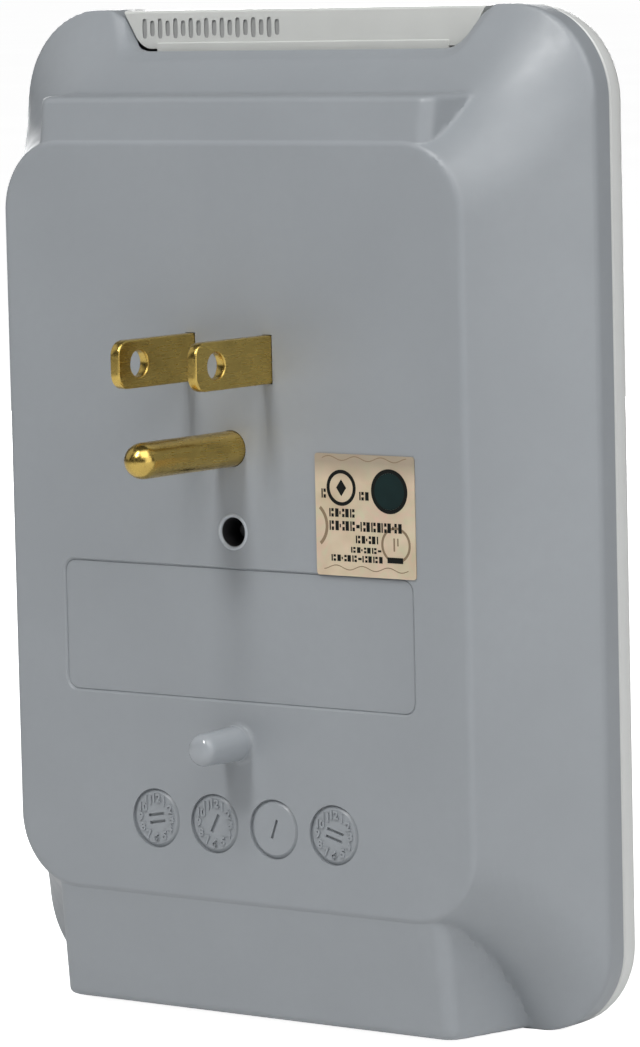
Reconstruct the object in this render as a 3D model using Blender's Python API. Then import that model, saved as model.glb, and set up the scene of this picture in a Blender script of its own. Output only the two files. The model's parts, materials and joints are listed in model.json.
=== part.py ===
"""A six-outlet surge protector that plugs into a wall outlet, as separate solids.

Frame: metres, +Z up, +Y towards the wall. The outlets face -Y and the plug points to +Y.
Origin: midway between the two blades, on the flat back that rests on the wall outlet.
Dimensions below are millimetres, with heights from the mounting screw's axis. A depth runs
from the flat back towards the outlets, so y = -depth.
"""

import math

import bpy
from mathutils import Vector

MM = 0.001
GAP = 0.3

# Rear housing: a flat back, a cove-shaped flare down to the rim, and a lengthwise hump.
WALL = 2.4
FLAT_HALF_WIDTH = 37.8
FLAT_BOTTOM = -49.5
FLAT_TOP = 51.2
FLAT_CORNER = 9.5
RIM_HALF_WIDTH = 47.2
RIM_BOTTOM = -65.7
RIM_TOP = 68.35
RIM_CORNER = 12.0
FLARE_DEPTH = 16.8
SEAM_DEPTH = 20.0
END_TURN = math.radians(44)
SIDE_TURN = math.radians(12)
CORNER_STEPS = 6
HUMP_HALF_WIDTH = 32.2
HUMP_DRAFT = 0.15
HUMP_TOP = 56.5
HUMP_TOP_DEPTH = 1.2
HUMP_BOTTOM = -65.0
HUMP_BOTTOM_DEPTH = 2.0
HUMP_SINK = 0.05
HUMP_END_DEPTH = 18.5
HUMP_ROUNDING = 1.6

# Front housing: a tray with a rounded rim and a lip that enters the rear housing.
FRONT_DEPTH = 27.2
FRONT_INSIDE = 25.0
LIP_DEPTH = 18.9
LIP_INSET = WALL + 0.4
LIP_WALL = 1.2

# Notch at the top and the light bar in it.
NOTCH_FLOOR = 62.7
NOTCH_FLOOR_HALF = 27.2
NOTCH_SLANT = 0.6
BAR_TOP = 68.15
BAR_REAR_DEPTH = 17.1
BAR_FLANGE_HALF = 24.3

# Plug: two blades and a ground pin (NEMA 5-15P).
BLADE_X = 6.35
BLADE_Z = 22.9
BLADE_WIDTH = 6.35
BLADE_THICKNESS = 1.5
BLADE_LENGTH = 15.9
BLADE_HOLE_Y = 11.6
BLADE_HOLE_RADIUS = 1.75
FOOT_DEPTH = 2.9
FOOT_END = 21.0
PIN_Z = 11.0
PIN_RADIUS = 2.375
PIN_LENGTH = 21.0
PIN_TAIL_DEPTH = 12.5
FRAME_ORIGIN = Vector((0.0, 0.0, BLADE_Z))

# Locating peg, label and shallow marks of the flat back.
PEG_Z = -28.0
PEG_LENGTH = 8.8
PEG_RADIUS = 2.5
LABEL_SIZE = 15.9
LABEL_LEFT = -29.8
LABEL_BOTTOM = -4.9
RECESS_HALF_WIDTH = 29.0
RECESS_BOTTOM = -22.5
RECESS_DEPTH = 0.25
DIAL_Z = -39.1
DIAL_RADIUS = 4.0
DIAL_PITCH = 9.9
DIAL_MIDDLE_X = -0.65

# Mounting screw: 6-32, held captive, drawn back at rest and driven by its travel.
SCREW_RADIUS = 1.75
SCREW_NECK_RADIUS = 1.35
SCREW_HEAD_RADIUS = 3.5
SCREW_HEAD_DEPTH = 24.5
SCREW_HEAD_HEIGHT = 2.3
SCREW_TIP_DEPTH = 2.6
THREAD_PITCH = 0.794
THREAD_LENGTH = 9.0
SCREW_HOLE_RADIUS = 1.925
TUBE_RADIUS = 6.2
TUBE_BORE = 4.6
TUBE_END_DEPTH = 10.5
TUBE_FLOOR_DEPTH = 12.0

# Outlets: two columns of three (NEMA 5-15R), each given by its column, row and slots.
COLUMN_X = 22.0
ROW_Z = (36.0, -2.0, -40.0)
SLOT_RISE = 4.5
GROUND_DROP = 7.4
SLOT_WIDTH = 2.0
LINE_SLOT = 7.4
NEUTRAL_SLOT = 8.6
GROUND_HOLE_RADIUS = 2.75

# Safety shutters behind the slots.
SHUTTER_TRAVEL = 3.2
SHUTTER_INNER = -8.2
SHUTTER_OUTER = 9.0
SHUTTER_HALF_HEIGHT = 5.6
SHUTTER_DEPTHS = (23.5, 24.7)
WINDOW_HALF = 1.3
WINDOW = (BLADE_X - SHUTTER_TRAVEL - WINDOW_HALF, BLADE_X - SHUTTER_TRAVEL + WINDOW_HALF)
TAB_DEPTH = 21.9
SPRING_START = 10.3
SPRING_END = 15.7
SPRING_RADIUS = 1.1
SPRING_WIRE = 0.2
SPRING_TURNS = 4.5

# Layers inside, as depths.
STRIP = (16.2, 17.0)
CARRIER = (13.9, 15.9)
GROUND_STRIP = (12.8, 13.6)
BOARD = (8.4, 10.0)
HOLDER = (4.9, 7.9)
CONTACT_TIP = 23.2
CARRIER_SCREWS = ((35.0, 50.6), (-35.0, 50.6), (-35.0, -49.0), (35.0, -49.0))
CARRIER_BOSS_RADIUS = 2.7
BOARD_SCREWS = ((28.3, -28.0), (-28.3, -28.0))
HOLDER_SCREWS = ((12.0, 8.5), (-12.0, 8.5))

# Finishes: colour, roughness, metallic.
GREY = ((0.33, 0.35, 0.36), 0.42, 0.0)
WHITE = ((0.80, 0.80, 0.78), 0.38, 0.0)
FROSTED = ((0.72, 0.73, 0.73), 0.30, 0.0)
FOIL = ((0.62, 0.50, 0.36), 0.35, 0.4)
BRASS = ((0.72, 0.52, 0.22), 0.28, 1.0)
STRIP_BRASS = ((0.70, 0.50, 0.24), 0.35, 1.0)
STEEL = ((0.62, 0.62, 0.60), 0.30, 1.0)
NYLON = ((0.85, 0.84, 0.78), 0.50, 0.0)
BLACK_PLASTIC = ((0.03, 0.03, 0.03), 0.45, 0.0)
SHUTTER_GREY = ((0.18, 0.18, 0.19), 0.45, 0.0)
BOARD_GREEN = ((0.02, 0.16, 0.08), 0.40, 0.0)
VARISTOR_BLUE = ((0.03, 0.12, 0.42), 0.50, 0.0)
FUSE_SILVER = ((0.55, 0.52, 0.45), 0.35, 0.6)
RESISTOR_TAN = ((0.55, 0.40, 0.22), 0.50, 0.0)
LED_GREEN = ((0.10, 0.55, 0.15), 0.20, 0.0)
WIRE_BLACK = ((0.02, 0.02, 0.02), 0.50, 0.0)
WIRE_WHITE = ((0.80, 0.80, 0.80), 0.50, 0.0)
WIRE_GREEN = ((0.03, 0.30, 0.08), 0.50, 0.0)
WIRE_RED = ((0.45, 0.02, 0.02), 0.50, 0.0)


# Solids are (points, faces) pairs in millimetres.


def signed_volume(points, faces):
    """Positive where the faces point out of the solid."""
    volume = 0.0
    for face in faces:
        first = Vector(points[face[0]])
        for i, j in zip(face[1:], face[2:]):
            volume += first.dot(Vector(points[i]).cross(Vector(points[j])))
    return volume


def loft(rings, closed=False):
    """Joins rings of equal length in order, and caps both ends or joins the last ring to the first."""
    count = len(rings[0])
    points = [point for ring in rings for point in ring]
    faces = []
    for k in range(len(rings) - (0 if closed else 1)):
        here = k * count
        ahead = (k + 1) % len(rings) * count
        for i in range(count):
            j = (i + 1) % count
            faces.append((here + i, here + j, ahead + j, ahead + i))
    if not closed:
        faces.append(tuple(reversed(range(count))))
        faces.append(tuple(range(len(points) - count, len(points))))
    if signed_volume(points, faces) < 0:
        faces = [face[::-1] for face in faces]
    return points, faces


def combine(solids):
    points = []
    faces = []
    for some_points, some_faces in solids:
        start = len(points)
        points += some_points
        faces += [tuple(start + i for i in face) for face in some_faces]
    return points, faces


def block(x, depth, z):
    """A box from (low, high) pairs."""
    corners = ((x[0], z[0]), (x[1], z[0]), (x[1], z[1]), (x[0], z[1]))
    return loft([[(a, -d, b) for a, b in corners] for d in depth])


def plate(outline, depth):
    """An outline of (x, z) points, between two depths."""
    return loft([[(x, -d, z) for x, z in outline] for d in depth])


def upright(outline, z):
    """An outline of (x, depth) points, between two heights."""
    return loft([[(x, -d, height) for x, d in outline] for height in z])


def across(profile, half_width):
    """A side profile of (z, depth) points, spread to plus and minus half_width(z, depth)."""
    return loft([[(side * half_width(z, d), -d, z) for z, d in profile] for side in (-1, 1)])


def turned(profile, centre, axis="Y", segments=16, closed=False):
    """Turns a profile of (radius, position along the axis) about an axis through (x, depth, z)."""
    x, depth, z = centre
    rings = []
    for radius, along in profile:
        ring = []
        for i in range(segments):
            angle = math.tau * (i + 0.5) / segments
            a = radius * math.cos(angle)
            b = radius * math.sin(angle)
            if axis == "Y":
                ring.append((x + a, -along, z + b))
            elif axis == "X":
                ring.append((along, -depth + a, z + b))
            else:
                ring.append((x + a, -depth + b, along))
        rings.append(ring)
    return loft(rings, closed)


def rounded_rectangle(half_width, bottom, top, corner, steps=CORNER_STEPS):
    """Outline of (x, z) points with rounded corners."""
    outline = []
    for i, (right, up) in enumerate(((1, 1), (0, 1), (0, 0), (1, 0))):
        x = half_width - corner if right else corner - half_width
        z = top - corner if up else bottom + corner
        for step in range(steps + 1):
            angle = math.pi / 2 * (i + step / steps)
            outline.append((x + corner * math.cos(angle), z + corner * math.sin(angle)))
    return outline


# Objects.


def finish_material(name, finish):
    colour, roughness, metallic = finish
    material = bpy.data.materials.new(name)
    material.use_nodes = True
    shader = material.node_tree.nodes["Principled BSDF"]
    shader.inputs["Base Color"].default_value = (*colour, 1.0)
    shader.inputs["Roughness"].default_value = roughness
    shader.inputs["Metallic"].default_value = metallic
    material.diffuse_color = (*colour, 1.0)
    return material


def make_object(name, solid, origin=(0.0, 0.0, 0.0)):
    """An object in metres whose own origin is at (x, depth, z)."""
    points, faces = solid
    start = Vector((origin[0], -origin[1], origin[2]))
    mesh = bpy.data.meshes.new(name)
    mesh.from_pydata([(Vector(point) - start) * MM for point in points], [], faces)
    return place_object(name, mesh, start)


def place_object(name, data, start):
    obj = bpy.data.objects.new(name, data)
    obj.location = (start - FRAME_ORIGIN) * MM
    bpy.context.scene.collection.objects.link(obj)
    return obj


def set_parent(piece, parent):
    piece.parent = parent
    piece.matrix_parent_inverse = parent.matrix_world.inverted()


def add_piece(name, solid, finish, parent, origin=(0.0, 0.0, 0.0)):
    piece = make_object(name, solid, origin)
    piece.data.materials.append(finish_material(name, finish))
    piece.data.shade_smooth()
    piece.data.set_sharp_from_angle(angle=math.radians(35))
    set_parent(piece, parent)
    return piece


def add_bar(name, path, radius, finish, parent, origin=(0.0, 0.0, 0.0), bends=True):
    """A round bar along (x, depth, z) points: a curve with a round bevel, smooth at its bends."""
    curve = bpy.data.curves.new(name, "CURVE")
    curve.dimensions = "3D"
    curve.bevel_depth = radius * MM
    curve.bevel_resolution = 1 if bends else 0
    curve.use_fill_caps = True
    curve.resolution_u = 3
    start = Vector((origin[0], -origin[1], origin[2]))
    places = [(Vector((x, -depth, z)) - start) * MM for x, depth, z in path]
    spline = curve.splines.new("BEZIER" if bends else "POLY")
    if bends:
        spline.bezier_points.add(len(places) - 1)
        for knot, place in zip(spline.bezier_points, places):
            knot.co = place
            knot.handle_left_type = "AUTO"
            knot.handle_right_type = "AUTO"
    else:
        spline.points.add(len(places) - 1)
        for knot, place in zip(spline.points, places):
            knot.co = (*place, 1.0)
    curve.materials.append(finish_material(name, finish))
    piece = place_object(name, curve, start)
    set_parent(piece, parent)
    return piece


def round_edges(obj, width, segments=2, angle=40.0):
    bevel = obj.modifiers.new("round_edges", "BEVEL")
    bevel.width = width * MM
    bevel.segments = segments
    bevel.limit_method = "ANGLE"
    bevel.angle_limit = math.radians(angle)


def change(piece, operation, label, solid, rounding=0.0):
    """Joins a solid to a piece, or cuts it out, with an exact Boolean."""
    helper = make_object(piece.name + "_" + label, solid)
    helper.hide_render = True
    helper.display_type = "WIRE"
    if rounding:
        round_edges(helper, rounding)
    modifier = piece.modifiers.new(label, "BOOLEAN")
    modifier.operation = operation
    modifier.solver = "EXACT"
    modifier.object = helper


def join(piece, label, solid, rounding=0.0):
    change(piece, "UNION", label, solid, rounding)


def cut(piece, label, solid):
    change(piece, "DIFFERENCE", label, solid)


# Housings.


def cove_reach(depth, run, turn, wall=0.0):
    """How far the cove stands out from the flat back's outline at a depth, for its inner face with a wall."""
    lean = math.atan2(FLARE_DEPTH, run) + turn / 2
    radius = math.hypot(run, FLARE_DEPTH) / (2 * math.sin(turn / 2))
    drop = depth + radius * math.cos(lean)
    return radius * math.sin(lean) - math.sqrt((radius + wall) ** 2 - drop**2)


def flare_ring(depth, wall=0.0, inset=0.0):
    """The flared housing's outline at one depth, outside or, with a wall, inside."""
    side_run = RIM_HALF_WIDTH - FLAT_HALF_WIDTH
    top_run = RIM_TOP - FLAT_TOP
    bottom_run = FLAT_BOTTOM - RIM_BOTTOM
    reach_depth = min(depth, FLARE_DEPTH + wall)
    side = min(cove_reach(reach_depth, side_run, SIDE_TURN, wall), side_run - wall) - inset
    top = min(cove_reach(reach_depth, top_run, END_TURN, wall), top_run - wall) - inset
    bottom = min(cove_reach(reach_depth, bottom_run, END_TURN, wall), bottom_run - wall) - inset
    corner = FLAT_CORNER + (RIM_CORNER - FLAT_CORNER) * min(depth / FLARE_DEPTH, 1.0) - wall - inset
    outline = rounded_rectangle(FLAT_HALF_WIDTH + side, FLAT_BOTTOM - bottom, FLAT_TOP + top, corner)
    return [(x, -depth, z) for x, z in outline]


def flared_body():
    rings = [flare_ring(0.0, inset=0.8), flare_ring(0.35, inset=0.25)]
    rings += [flare_ring(depth) for depth in (1.2, 3.5, 6.5, 9.5, 12.0, 14.3, FLARE_DEPTH, SEAM_DEPTH)]
    return loft(rings)


def flared_cavity():
    depths = (WALL, 4.0, 7.0, 10.0, 13.0, 15.5, 17.3, 18.4, FLARE_DEPTH + WALL, SEAM_DEPTH + 1.0)
    return loft([flare_ring(depth, WALL) for depth in depths])


def hump(wall=0.0):
    """The lengthwise hump with its two tilted ends, outside or, with a wall, inside."""
    end_depth = SEAM_DEPTH + 1.5 if wall else HUMP_END_DEPTH
    profile = [
        (FLAT_TOP - 0.1 - wall * 0.5, HUMP_SINK + wall),
        (HUMP_TOP - wall, HUMP_TOP_DEPTH + wall),
        (HUMP_TOP + 0.4 - wall, end_depth),
        (RIM_BOTTOM + 0.15 + wall, end_depth),
        (HUMP_BOTTOM + wall, HUMP_BOTTOM_DEPTH + wall),
        (FLAT_BOTTOM + 0.1 + wall * 0.5, HUMP_SINK + wall),
    ]
    return across(profile, lambda z, depth: HUMP_HALF_WIDTH - wall + HUMP_DRAFT * depth)


def notch_half(z, clear=0.0):
    return NOTCH_FLOOR_HALF - clear + NOTCH_SLANT * (z - NOTCH_FLOOR)


def notch_space():
    profile = [(NOTCH_FLOOR, 9.0), (RIM_TOP + 3.0, 9.0), (RIM_TOP + 3.0, 32.0), (NOTCH_FLOOR, 32.0)]
    return across(profile, lambda z, depth: notch_half(z))


def peg():
    tip = [(PEG_RADIUS * 0.8 * math.cos(a), PEG_LENGTH - 2.0 + 2.0 * math.sin(a)) for a in (0.0, 0.5, 1.0, 1.35)]
    profile = [(PEG_RADIUS, -1.0), (PEG_RADIUS + 0.5, 0.0), (PEG_RADIUS, 0.5)] + tip
    return turned([(radius, -along) for radius, along in profile], (0.0, 0.0, PEG_Z))


def boss(x, z, radius, low, high):
    return turned([(radius, low), (radius, high)], (x, 0.0, z), segments=12)


def make_rear_housing(parent):
    housing = add_piece("rear_housing", flared_body(), GREY, parent)
    join(housing, "hump", hump(), rounding=HUMP_ROUNDING)
    cut(housing, "flare_cavity", flared_cavity())
    cut(housing, "hump_cavity", hump(WALL))
    cut(housing, "notch", notch_space())
    bosses = [boss(x, z, 2.6, WALL - 0.4, HOLDER[0] - GAP) for x, z in HOLDER_SCREWS]
    bosses += [boss(x, z, 2.6, WALL - 0.4, BOARD[0] - GAP) for x, z in BOARD_SCREWS]
    bosses.append(boss(0.0, 0.0, 4.0, WALL - 0.4, TUBE_END_DEPTH - GAP))
    join(housing, "bosses", combine([peg()] + bosses))
    holes = [boss(x, z, 1.3, 1.2, HOLDER[0]) for x, z in HOLDER_SCREWS]
    holes += [boss(x, z, 1.3, 2.0, BOARD[0]) for x, z in BOARD_SCREWS]
    holes.append(boss(0.0, PIN_Z, PIN_RADIUS + GAP, -1.0, WALL + 1.0))
    screw_hole = [(2.75, -0.4), (SCREW_HOLE_RADIUS, 0.4), (SCREW_HOLE_RADIUS, TUBE_END_DEPTH)]
    holes.append(turned(screw_hole, (0.0, 0.0, 0.0), segments=24))
    clear_x = BLADE_THICKNESS / 2 + GAP
    clear_z = BLADE_WIDTH / 2 + GAP
    for x in (BLADE_X, -BLADE_X):
        slot_x = (x - clear_x, x + clear_x)
        holes.append(block(slot_x, (-1.0, WALL + 1.0), (BLADE_Z - clear_z, BLADE_Z + clear_z)))
    recess = rounded_rectangle(RECESS_HALF_WIDTH, RECESS_BOTTOM, LABEL_BOTTOM, 1.75, 3)
    holes.append(plate(recess, (-1.0, RECESS_DEPTH)))
    for k in range(4):
        x = DIAL_MIDDLE_X + (k - 1.5) * DIAL_PITCH
        holes.append(boss(x, DIAL_Z, DIAL_RADIUS, -0.5, 0.15))
    cut(housing, "holes", combine(holes))
    return housing


def front_ring(depth, inset):
    outline = rounded_rectangle(
        RIM_HALF_WIDTH - inset, RIM_BOTTOM + inset, RIM_TOP - inset, max(RIM_CORNER - inset, 3.0)
    )
    return [(x, -depth, z) for x, z in outline]


def front_tray():
    """The tray as one closed skin: over the outside, then back along the lip and the inside."""
    return loft(
        [
            front_ring(FRONT_DEPTH, 14.0),
            front_ring(26.9, 9.0),
            front_ring(26.4, 5.0),
            front_ring(25.4, 2.4),
            front_ring(23.6, 0.65),
            front_ring(21.2, 0.0),
            front_ring(SEAM_DEPTH + GAP, 0.0),
            front_ring(SEAM_DEPTH + GAP, LIP_INSET),
            front_ring(LIP_DEPTH, LIP_INSET),
            front_ring(LIP_DEPTH, LIP_INSET + LIP_WALL),
            front_ring(23.0, LIP_INSET + LIP_WALL),
            front_ring(24.4, LIP_INSET + LIP_WALL + 1.2),
            front_ring(FRONT_INSIDE, LIP_INSET + LIP_WALL + 3.5),
        ]
    )


def outlets():
    """Yields each outlet's number, outward side, column x and slot height."""
    for number in range(6):
        side = -1 if number % 2 == 0 else 1
        yield number + 1, side, side * COLUMN_X, ROW_Z[number // 2] + SLOT_RISE


def outward_block(column, side, along, depth, z):
    """A box whose along range is measured outwards from an outlet's column."""
    ends = sorted(column + side * t for t in along)
    return block(ends, depth, z)


def make_front_housing(parent):
    housing = add_piece("front_housing", front_tray(), WHITE, parent)
    inner = FRONT_INSIDE + 0.4
    additions = [turned([(TUBE_RADIUS, TUBE_END_DEPTH), (TUBE_RADIUS, inner)], (0.0, 0.0, 0.0), segments=24)]
    for x, z in CARRIER_SCREWS:
        additions.append(boss(x, z, CARRIER_BOSS_RADIUS, STRIP[0], inner))
    for _, side, column, z in outlets():
        for rail in (-1, 1):
            edges = sorted(z + rail * (SHUTTER_HALF_HEIGHT + t) for t in (GAP, GAP + 1.0))
            additions.append(outward_block(column, side, (-9.0, 13.5), (22.4, inner), edges))
        additions.append(outward_block(column, side, (16.0, 17.2), (21.6, inner), (z - 2.5, z + 2.5)))
    join(housing, "ribs", combine(additions))
    outside = FRONT_DEPTH + 1.0
    openings = []
    tube_bore = [
        (2.0, TUBE_END_DEPTH - 1.0),
        (2.0, TUBE_FLOOR_DEPTH),
        (TUBE_BORE, TUBE_FLOOR_DEPTH),
        (TUBE_BORE, outside),
    ]
    openings.append(turned(tube_bore, (0.0, 0.0, 0.0), segments=24))
    for x, z in CARRIER_SCREWS:
        openings.append(boss(x, z, 1.35, STRIP[0] - 1.0, 22.5))
    deep = (FRONT_INSIDE - 1.0, outside)
    for _, _, column, z in outlets():
        for x, height in ((column + BLADE_X, LINE_SLOT), (column - BLADE_X, NEUTRAL_SLOT)):
            slot_x = (x - SLOT_WIDTH / 2, x + SLOT_WIDTH / 2)
            openings.append(block(slot_x, deep, (z - height / 2, z + height / 2)))
        ground_z = z - SLOT_RISE - GROUND_DROP
        openings.append(boss(column, ground_z, GROUND_HOLE_RADIUS, *deep))
    cut(housing, "openings", combine(openings))
    cut(housing, "notch", notch_space())
    return housing


def make_light_bar(parent):
    floor = NOTCH_FLOOR + GAP
    profile = [
        (floor, BAR_REAR_DEPTH),
        (BAR_TOP, BAR_REAR_DEPTH),
        (BAR_TOP, 21.2),
        (67.6, 23.6),
        (65.9, 25.5),
        (floor, 26.4),
    ]
    bar = add_piece("light_bar", across(profile, lambda z, depth: notch_half(z, GAP)), FROSTED, parent)
    flange_x = (-BAR_FLANGE_HALF, BAR_FLANGE_HALF)
    join(bar, "flange", block(flange_x, (BAR_REAR_DEPTH - 0.2, 24.0), (61.3, floor + 0.8)))
    return bar


def make_label(parent):
    x = (LABEL_LEFT, LABEL_LEFT + LABEL_SIZE)
    z = (LABEL_BOTTOM + 0.05, LABEL_BOTTOM + LABEL_SIZE)
    return add_piece("listing_label", block(x, (-0.2, -0.05), z), FOIL, parent)


# Plug.


def make_blade(name, side, parent):
    """A blade that passes through the back and bends outwards into a foot under the holder."""
    inner = side * (BLADE_X - BLADE_THICKNESS / 2)
    outer = side * (BLADE_X + BLADE_THICKNESS / 2)
    foot_back = FOOT_DEPTH
    foot_front = FOOT_DEPTH + BLADE_THICKNESS
    end = side * FOOT_END
    outline = [
        (inner, foot_front),
        (inner, -BLADE_LENGTH + 0.5),
        (inner + side * 0.4, -BLADE_LENGTH),
        (outer - side * 0.4, -BLADE_LENGTH),
        (outer, -BLADE_LENGTH + 0.5),
        (outer, foot_back),
        (end, foot_back),
        (end, foot_front),
    ]
    half = BLADE_WIDTH / 2
    blade = add_piece(name, upright(outline, (BLADE_Z - half, BLADE_Z + half)), BRASS, parent)
    reach = (side * BLADE_X - 2.0, side * BLADE_X + 2.0)
    hole_profile = [(BLADE_HOLE_RADIUS, x) for x in reach]
    cutters = [turned(hole_profile, (0.0, -BLADE_HOLE_Y, BLADE_Z), "X", 16)]
    corner = 2.0
    for rise in (-1, 1):
        tip = BLADE_Z + rise * half
        outside = [(BLADE_LENGTH - corner, tip), (BLADE_LENGTH - corner, tip + rise)]
        outside += [(BLADE_LENGTH + 1.0, tip + rise), (BLADE_LENGTH + 1.0, tip - rise * corner)]
        outside.append((BLADE_LENGTH, tip - rise * corner))
        for step in (1, 2):
            angle = math.pi / 2 * step / 3
            y = BLADE_LENGTH - corner + corner * math.cos(angle)
            outside.append((y, tip - rise * corner * (1 - math.sin(angle))))
        cutters.append(loft([[(x, y, z) for y, z in outside] for x in reach]))
    cut(blade, "shaping", combine(cutters))
    return blade


def make_ground_pin(parent):
    tip = [(PIN_RADIUS * math.cos(a), -PIN_LENGTH + 2.6 - 2.6 * math.sin(a)) for a in (0.0, 0.45, 0.9, 1.3)]
    profile = tip[::-1] + [(PIN_RADIUS, 2.8), (4.0, 2.8), (4.0, 4.4), (1.5, 4.4), (1.5, PIN_TAIL_DEPTH)]
    return add_piece("ground_pin", turned(profile, (0.0, 0.0, PIN_Z), segments=20), BRASS, parent)


def make_blade_holder(parent):
    outline = rounded_rectangle(16.0, 5.0, 28.5, 2.0, 2)
    holder = add_piece("blade_holder", plate(outline, HOLDER), BLACK_PLASTIC, parent)
    holes = [boss(x, z, 1.4, HOLDER[0] - 1.0, HOLDER[1] + 1.0) for x, z in HOLDER_SCREWS]
    holes.append(boss(0.0, PIN_Z, 1.9, HOLDER[0] - 1.0, HOLDER[1] + 1.0))
    cut(holder, "holes", combine(holes))
    return holder


def make_tapping_screw(name, place, seat, tip, parent):
    """A pan-head screw whose head stands on seat and whose shank ends at tip, both depths."""
    x, z = place
    out = 1 if seat > tip else -1
    profile = [
        (1.3, seat + out * 1.3),
        (2.1, seat + out * 0.8),
        (2.2, seat),
        (1.1, seat),
        (1.1, tip + out * 1.2),
        (0.3, tip),
    ]
    return add_piece(name, turned(profile, (x, 0.0, z), segments=12), STEEL, parent)


# Mounting screw.


def thread_profile():
    """Crests and roots from the neck to the tip."""
    profile = []
    turns = int(THREAD_LENGTH / THREAD_PITCH) - 1
    start = SCREW_TIP_DEPTH + THREAD_LENGTH
    for k in range(turns):
        crest = start - (k + 0.5) * THREAD_PITCH
        profile += [(SCREW_RADIUS - 0.35, crest + 0.4 * THREAD_PITCH), (SCREW_RADIUS, crest)]
    profile += [(SCREW_RADIUS - 0.35, SCREW_TIP_DEPTH + 0.9), (0.9, SCREW_TIP_DEPTH)]
    return profile


def make_mounting_screw(parent):
    head = SCREW_HEAD_DEPTH
    top = head + SCREW_HEAD_HEIGHT
    profile = [
        (1.6, top),
        (2.7, top - 0.5),
        (SCREW_HEAD_RADIUS, top - 1.5),
        (SCREW_HEAD_RADIUS, head),
        (SCREW_NECK_RADIUS, head),
        (SCREW_NECK_RADIUS, SCREW_TIP_DEPTH + THREAD_LENGTH),
    ]
    solid = turned(profile + thread_profile(), (0.0, 0.0, 0.0), segments=12)
    screw = add_piece("mounting_screw", solid, STEEL, parent, (0.0, head, 0.0))
    cut(screw, "slot", block((-4.0, 4.0), (top - 1.1, top + 1.0), (-0.5, 0.5)))
    return screw


def make_ring(name, inner, outer, depth, finish, parent):
    profile = [(inner, depth[0]), (outer, depth[0]), (outer, depth[1]), (inner, depth[1])]
    solid = turned(profile, (0.0, 0.0, 0.0), segments=16, closed=True)
    return add_piece(name, solid, finish, parent, (0.0, depth[0], 0.0))


# Contacts.


def leaf(x, side, z, root, waist):
    """One spring leaf of a contact: it leans in to the waist and flares out at its tip."""
    line = [(1.9, root), (1.9, root + 1.4), (waist, CONTACT_TIP - 1.8), (waist + 0.8, CONTACT_TIP)]
    outline = [(x + side * t, depth) for t, depth in line]
    outline += [(x + side * (t + 0.45), depth) for t, depth in line[::-1]]
    return upright(outline, (z - 2.4, z + 2.4))


def make_strip(name, outline, depth, contacts, waist, finish, parent):
    """A stamped strip with two leaves at each contact, given as (x, z)."""
    strip = add_piece(name, plate(outline, depth), finish, parent)
    root = depth[1] - 0.4
    leaves = [leaf(x, side, z, root, waist) for x, z in contacts for side in (-1, 1)]
    join(strip, "leaves", combine(leaves))
    return strip


def comb(x_left, x_right, cross, tip, half=2.6):
    """A U-shaped outline: two strips joined by a cross-piece at cross."""
    inward = 1 if tip > cross else -1
    bridge = cross + inward * 3.6
    return [
        (x_left - half, cross),
        (x_right + half, cross),
        (x_right + half, tip),
        (x_right - half, tip),
        (x_right - half, bridge),
        (x_left + half, bridge),
        (x_left + half, tip),
        (x_left - half, tip),
    ]


def make_strips(parent):
    places = [(column, z) for _, _, column, z in outlets()]
    top = ROW_Z[0] + SLOT_RISE + 3.5
    bottom = ROW_Z[2] + SLOT_RISE - 3.5
    line_x = (-COLUMN_X + BLADE_X, COLUMN_X + BLADE_X)
    neutral_x = (-COLUMN_X - BLADE_X, COLUMN_X - BLADE_X)
    line = make_strip(
        "line_bus",
        comb(*line_x, -54.6, top),
        STRIP,
        [(x + BLADE_X, z) for x, z in places],
        0.55,
        STRIP_BRASS,
        parent,
    )
    neutral = make_strip(
        "neutral_bus",
        comb(*neutral_x, 52.0, bottom),
        STRIP,
        [(x - BLADE_X, z) for x, z in places],
        0.55,
        STRIP_BRASS,
        parent,
    )
    tail = (11.0, STRIP[1] - 0.4)
    join(line, "tail", block((line_x[1] - 0.4, line_x[1] + 0.4), tail, (2.0, 6.0)))
    join(neutral, "tail", block((neutral_x[0] - 0.4, neutral_x[0] + 0.4), tail, (12.0, 16.0)))
    ground_z = [z - GROUND_DROP for z in ROW_Z]
    half = 2.6
    low = ground_z[2] - 3.5
    high = ground_z[0] + 3.5
    cross = (PIN_Z - 3.0, PIN_Z + 3.0)
    ladder = [
        (-COLUMN_X - half, low),
        (-COLUMN_X + half, low),
        (-COLUMN_X + half, cross[0]),
        (COLUMN_X - half, cross[0]),
        (COLUMN_X - half, low),
        (COLUMN_X + half, low),
        (COLUMN_X + half, high),
        (COLUMN_X - half, high),
        (COLUMN_X - half, cross[1]),
        (-COLUMN_X + half, cross[1]),
        (-COLUMN_X + half, high),
        (-COLUMN_X - half, high),
    ]
    contacts = [(x, z) for x in (-COLUMN_X, COLUMN_X) for z in ground_z]
    make_strip("ground_bus", ladder, GROUND_STRIP, contacts, 1.6, STRIP_BRASS, parent)


def make_carrier(parent):
    outline = rounded_rectangle(38.4, -55.0, 54.5, 5.0, 3)
    carrier = add_piece("contact_carrier", plate(outline, CARRIER), BLACK_PLASTIC, parent)
    through = (CARRIER[0] - 1.0, CARRIER[1] + 1.0)
    holes = [boss(0.0, 0.0, TUBE_RADIUS + 0.5, *through)]
    holes += [boss(x, z, 1.6, *through) for x, z in CARRIER_SCREWS]
    for x in (-COLUMN_X, COLUMN_X):
        for row in ROW_Z:
            z = row - GROUND_DROP
            holes.append(block((x - 3.0, x + 3.0), through, (z - 3.0, z + 3.0)))
    for x, z in ((COLUMN_X + BLADE_X, 4.0), (-COLUMN_X - BLADE_X, 14.0)):
        holes.append(block((x - 0.9, x + 0.9), through, (z - 2.6, z + 2.6)))
    cut(carrier, "holes", combine(holes))
    return carrier


# Surge board.


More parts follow.
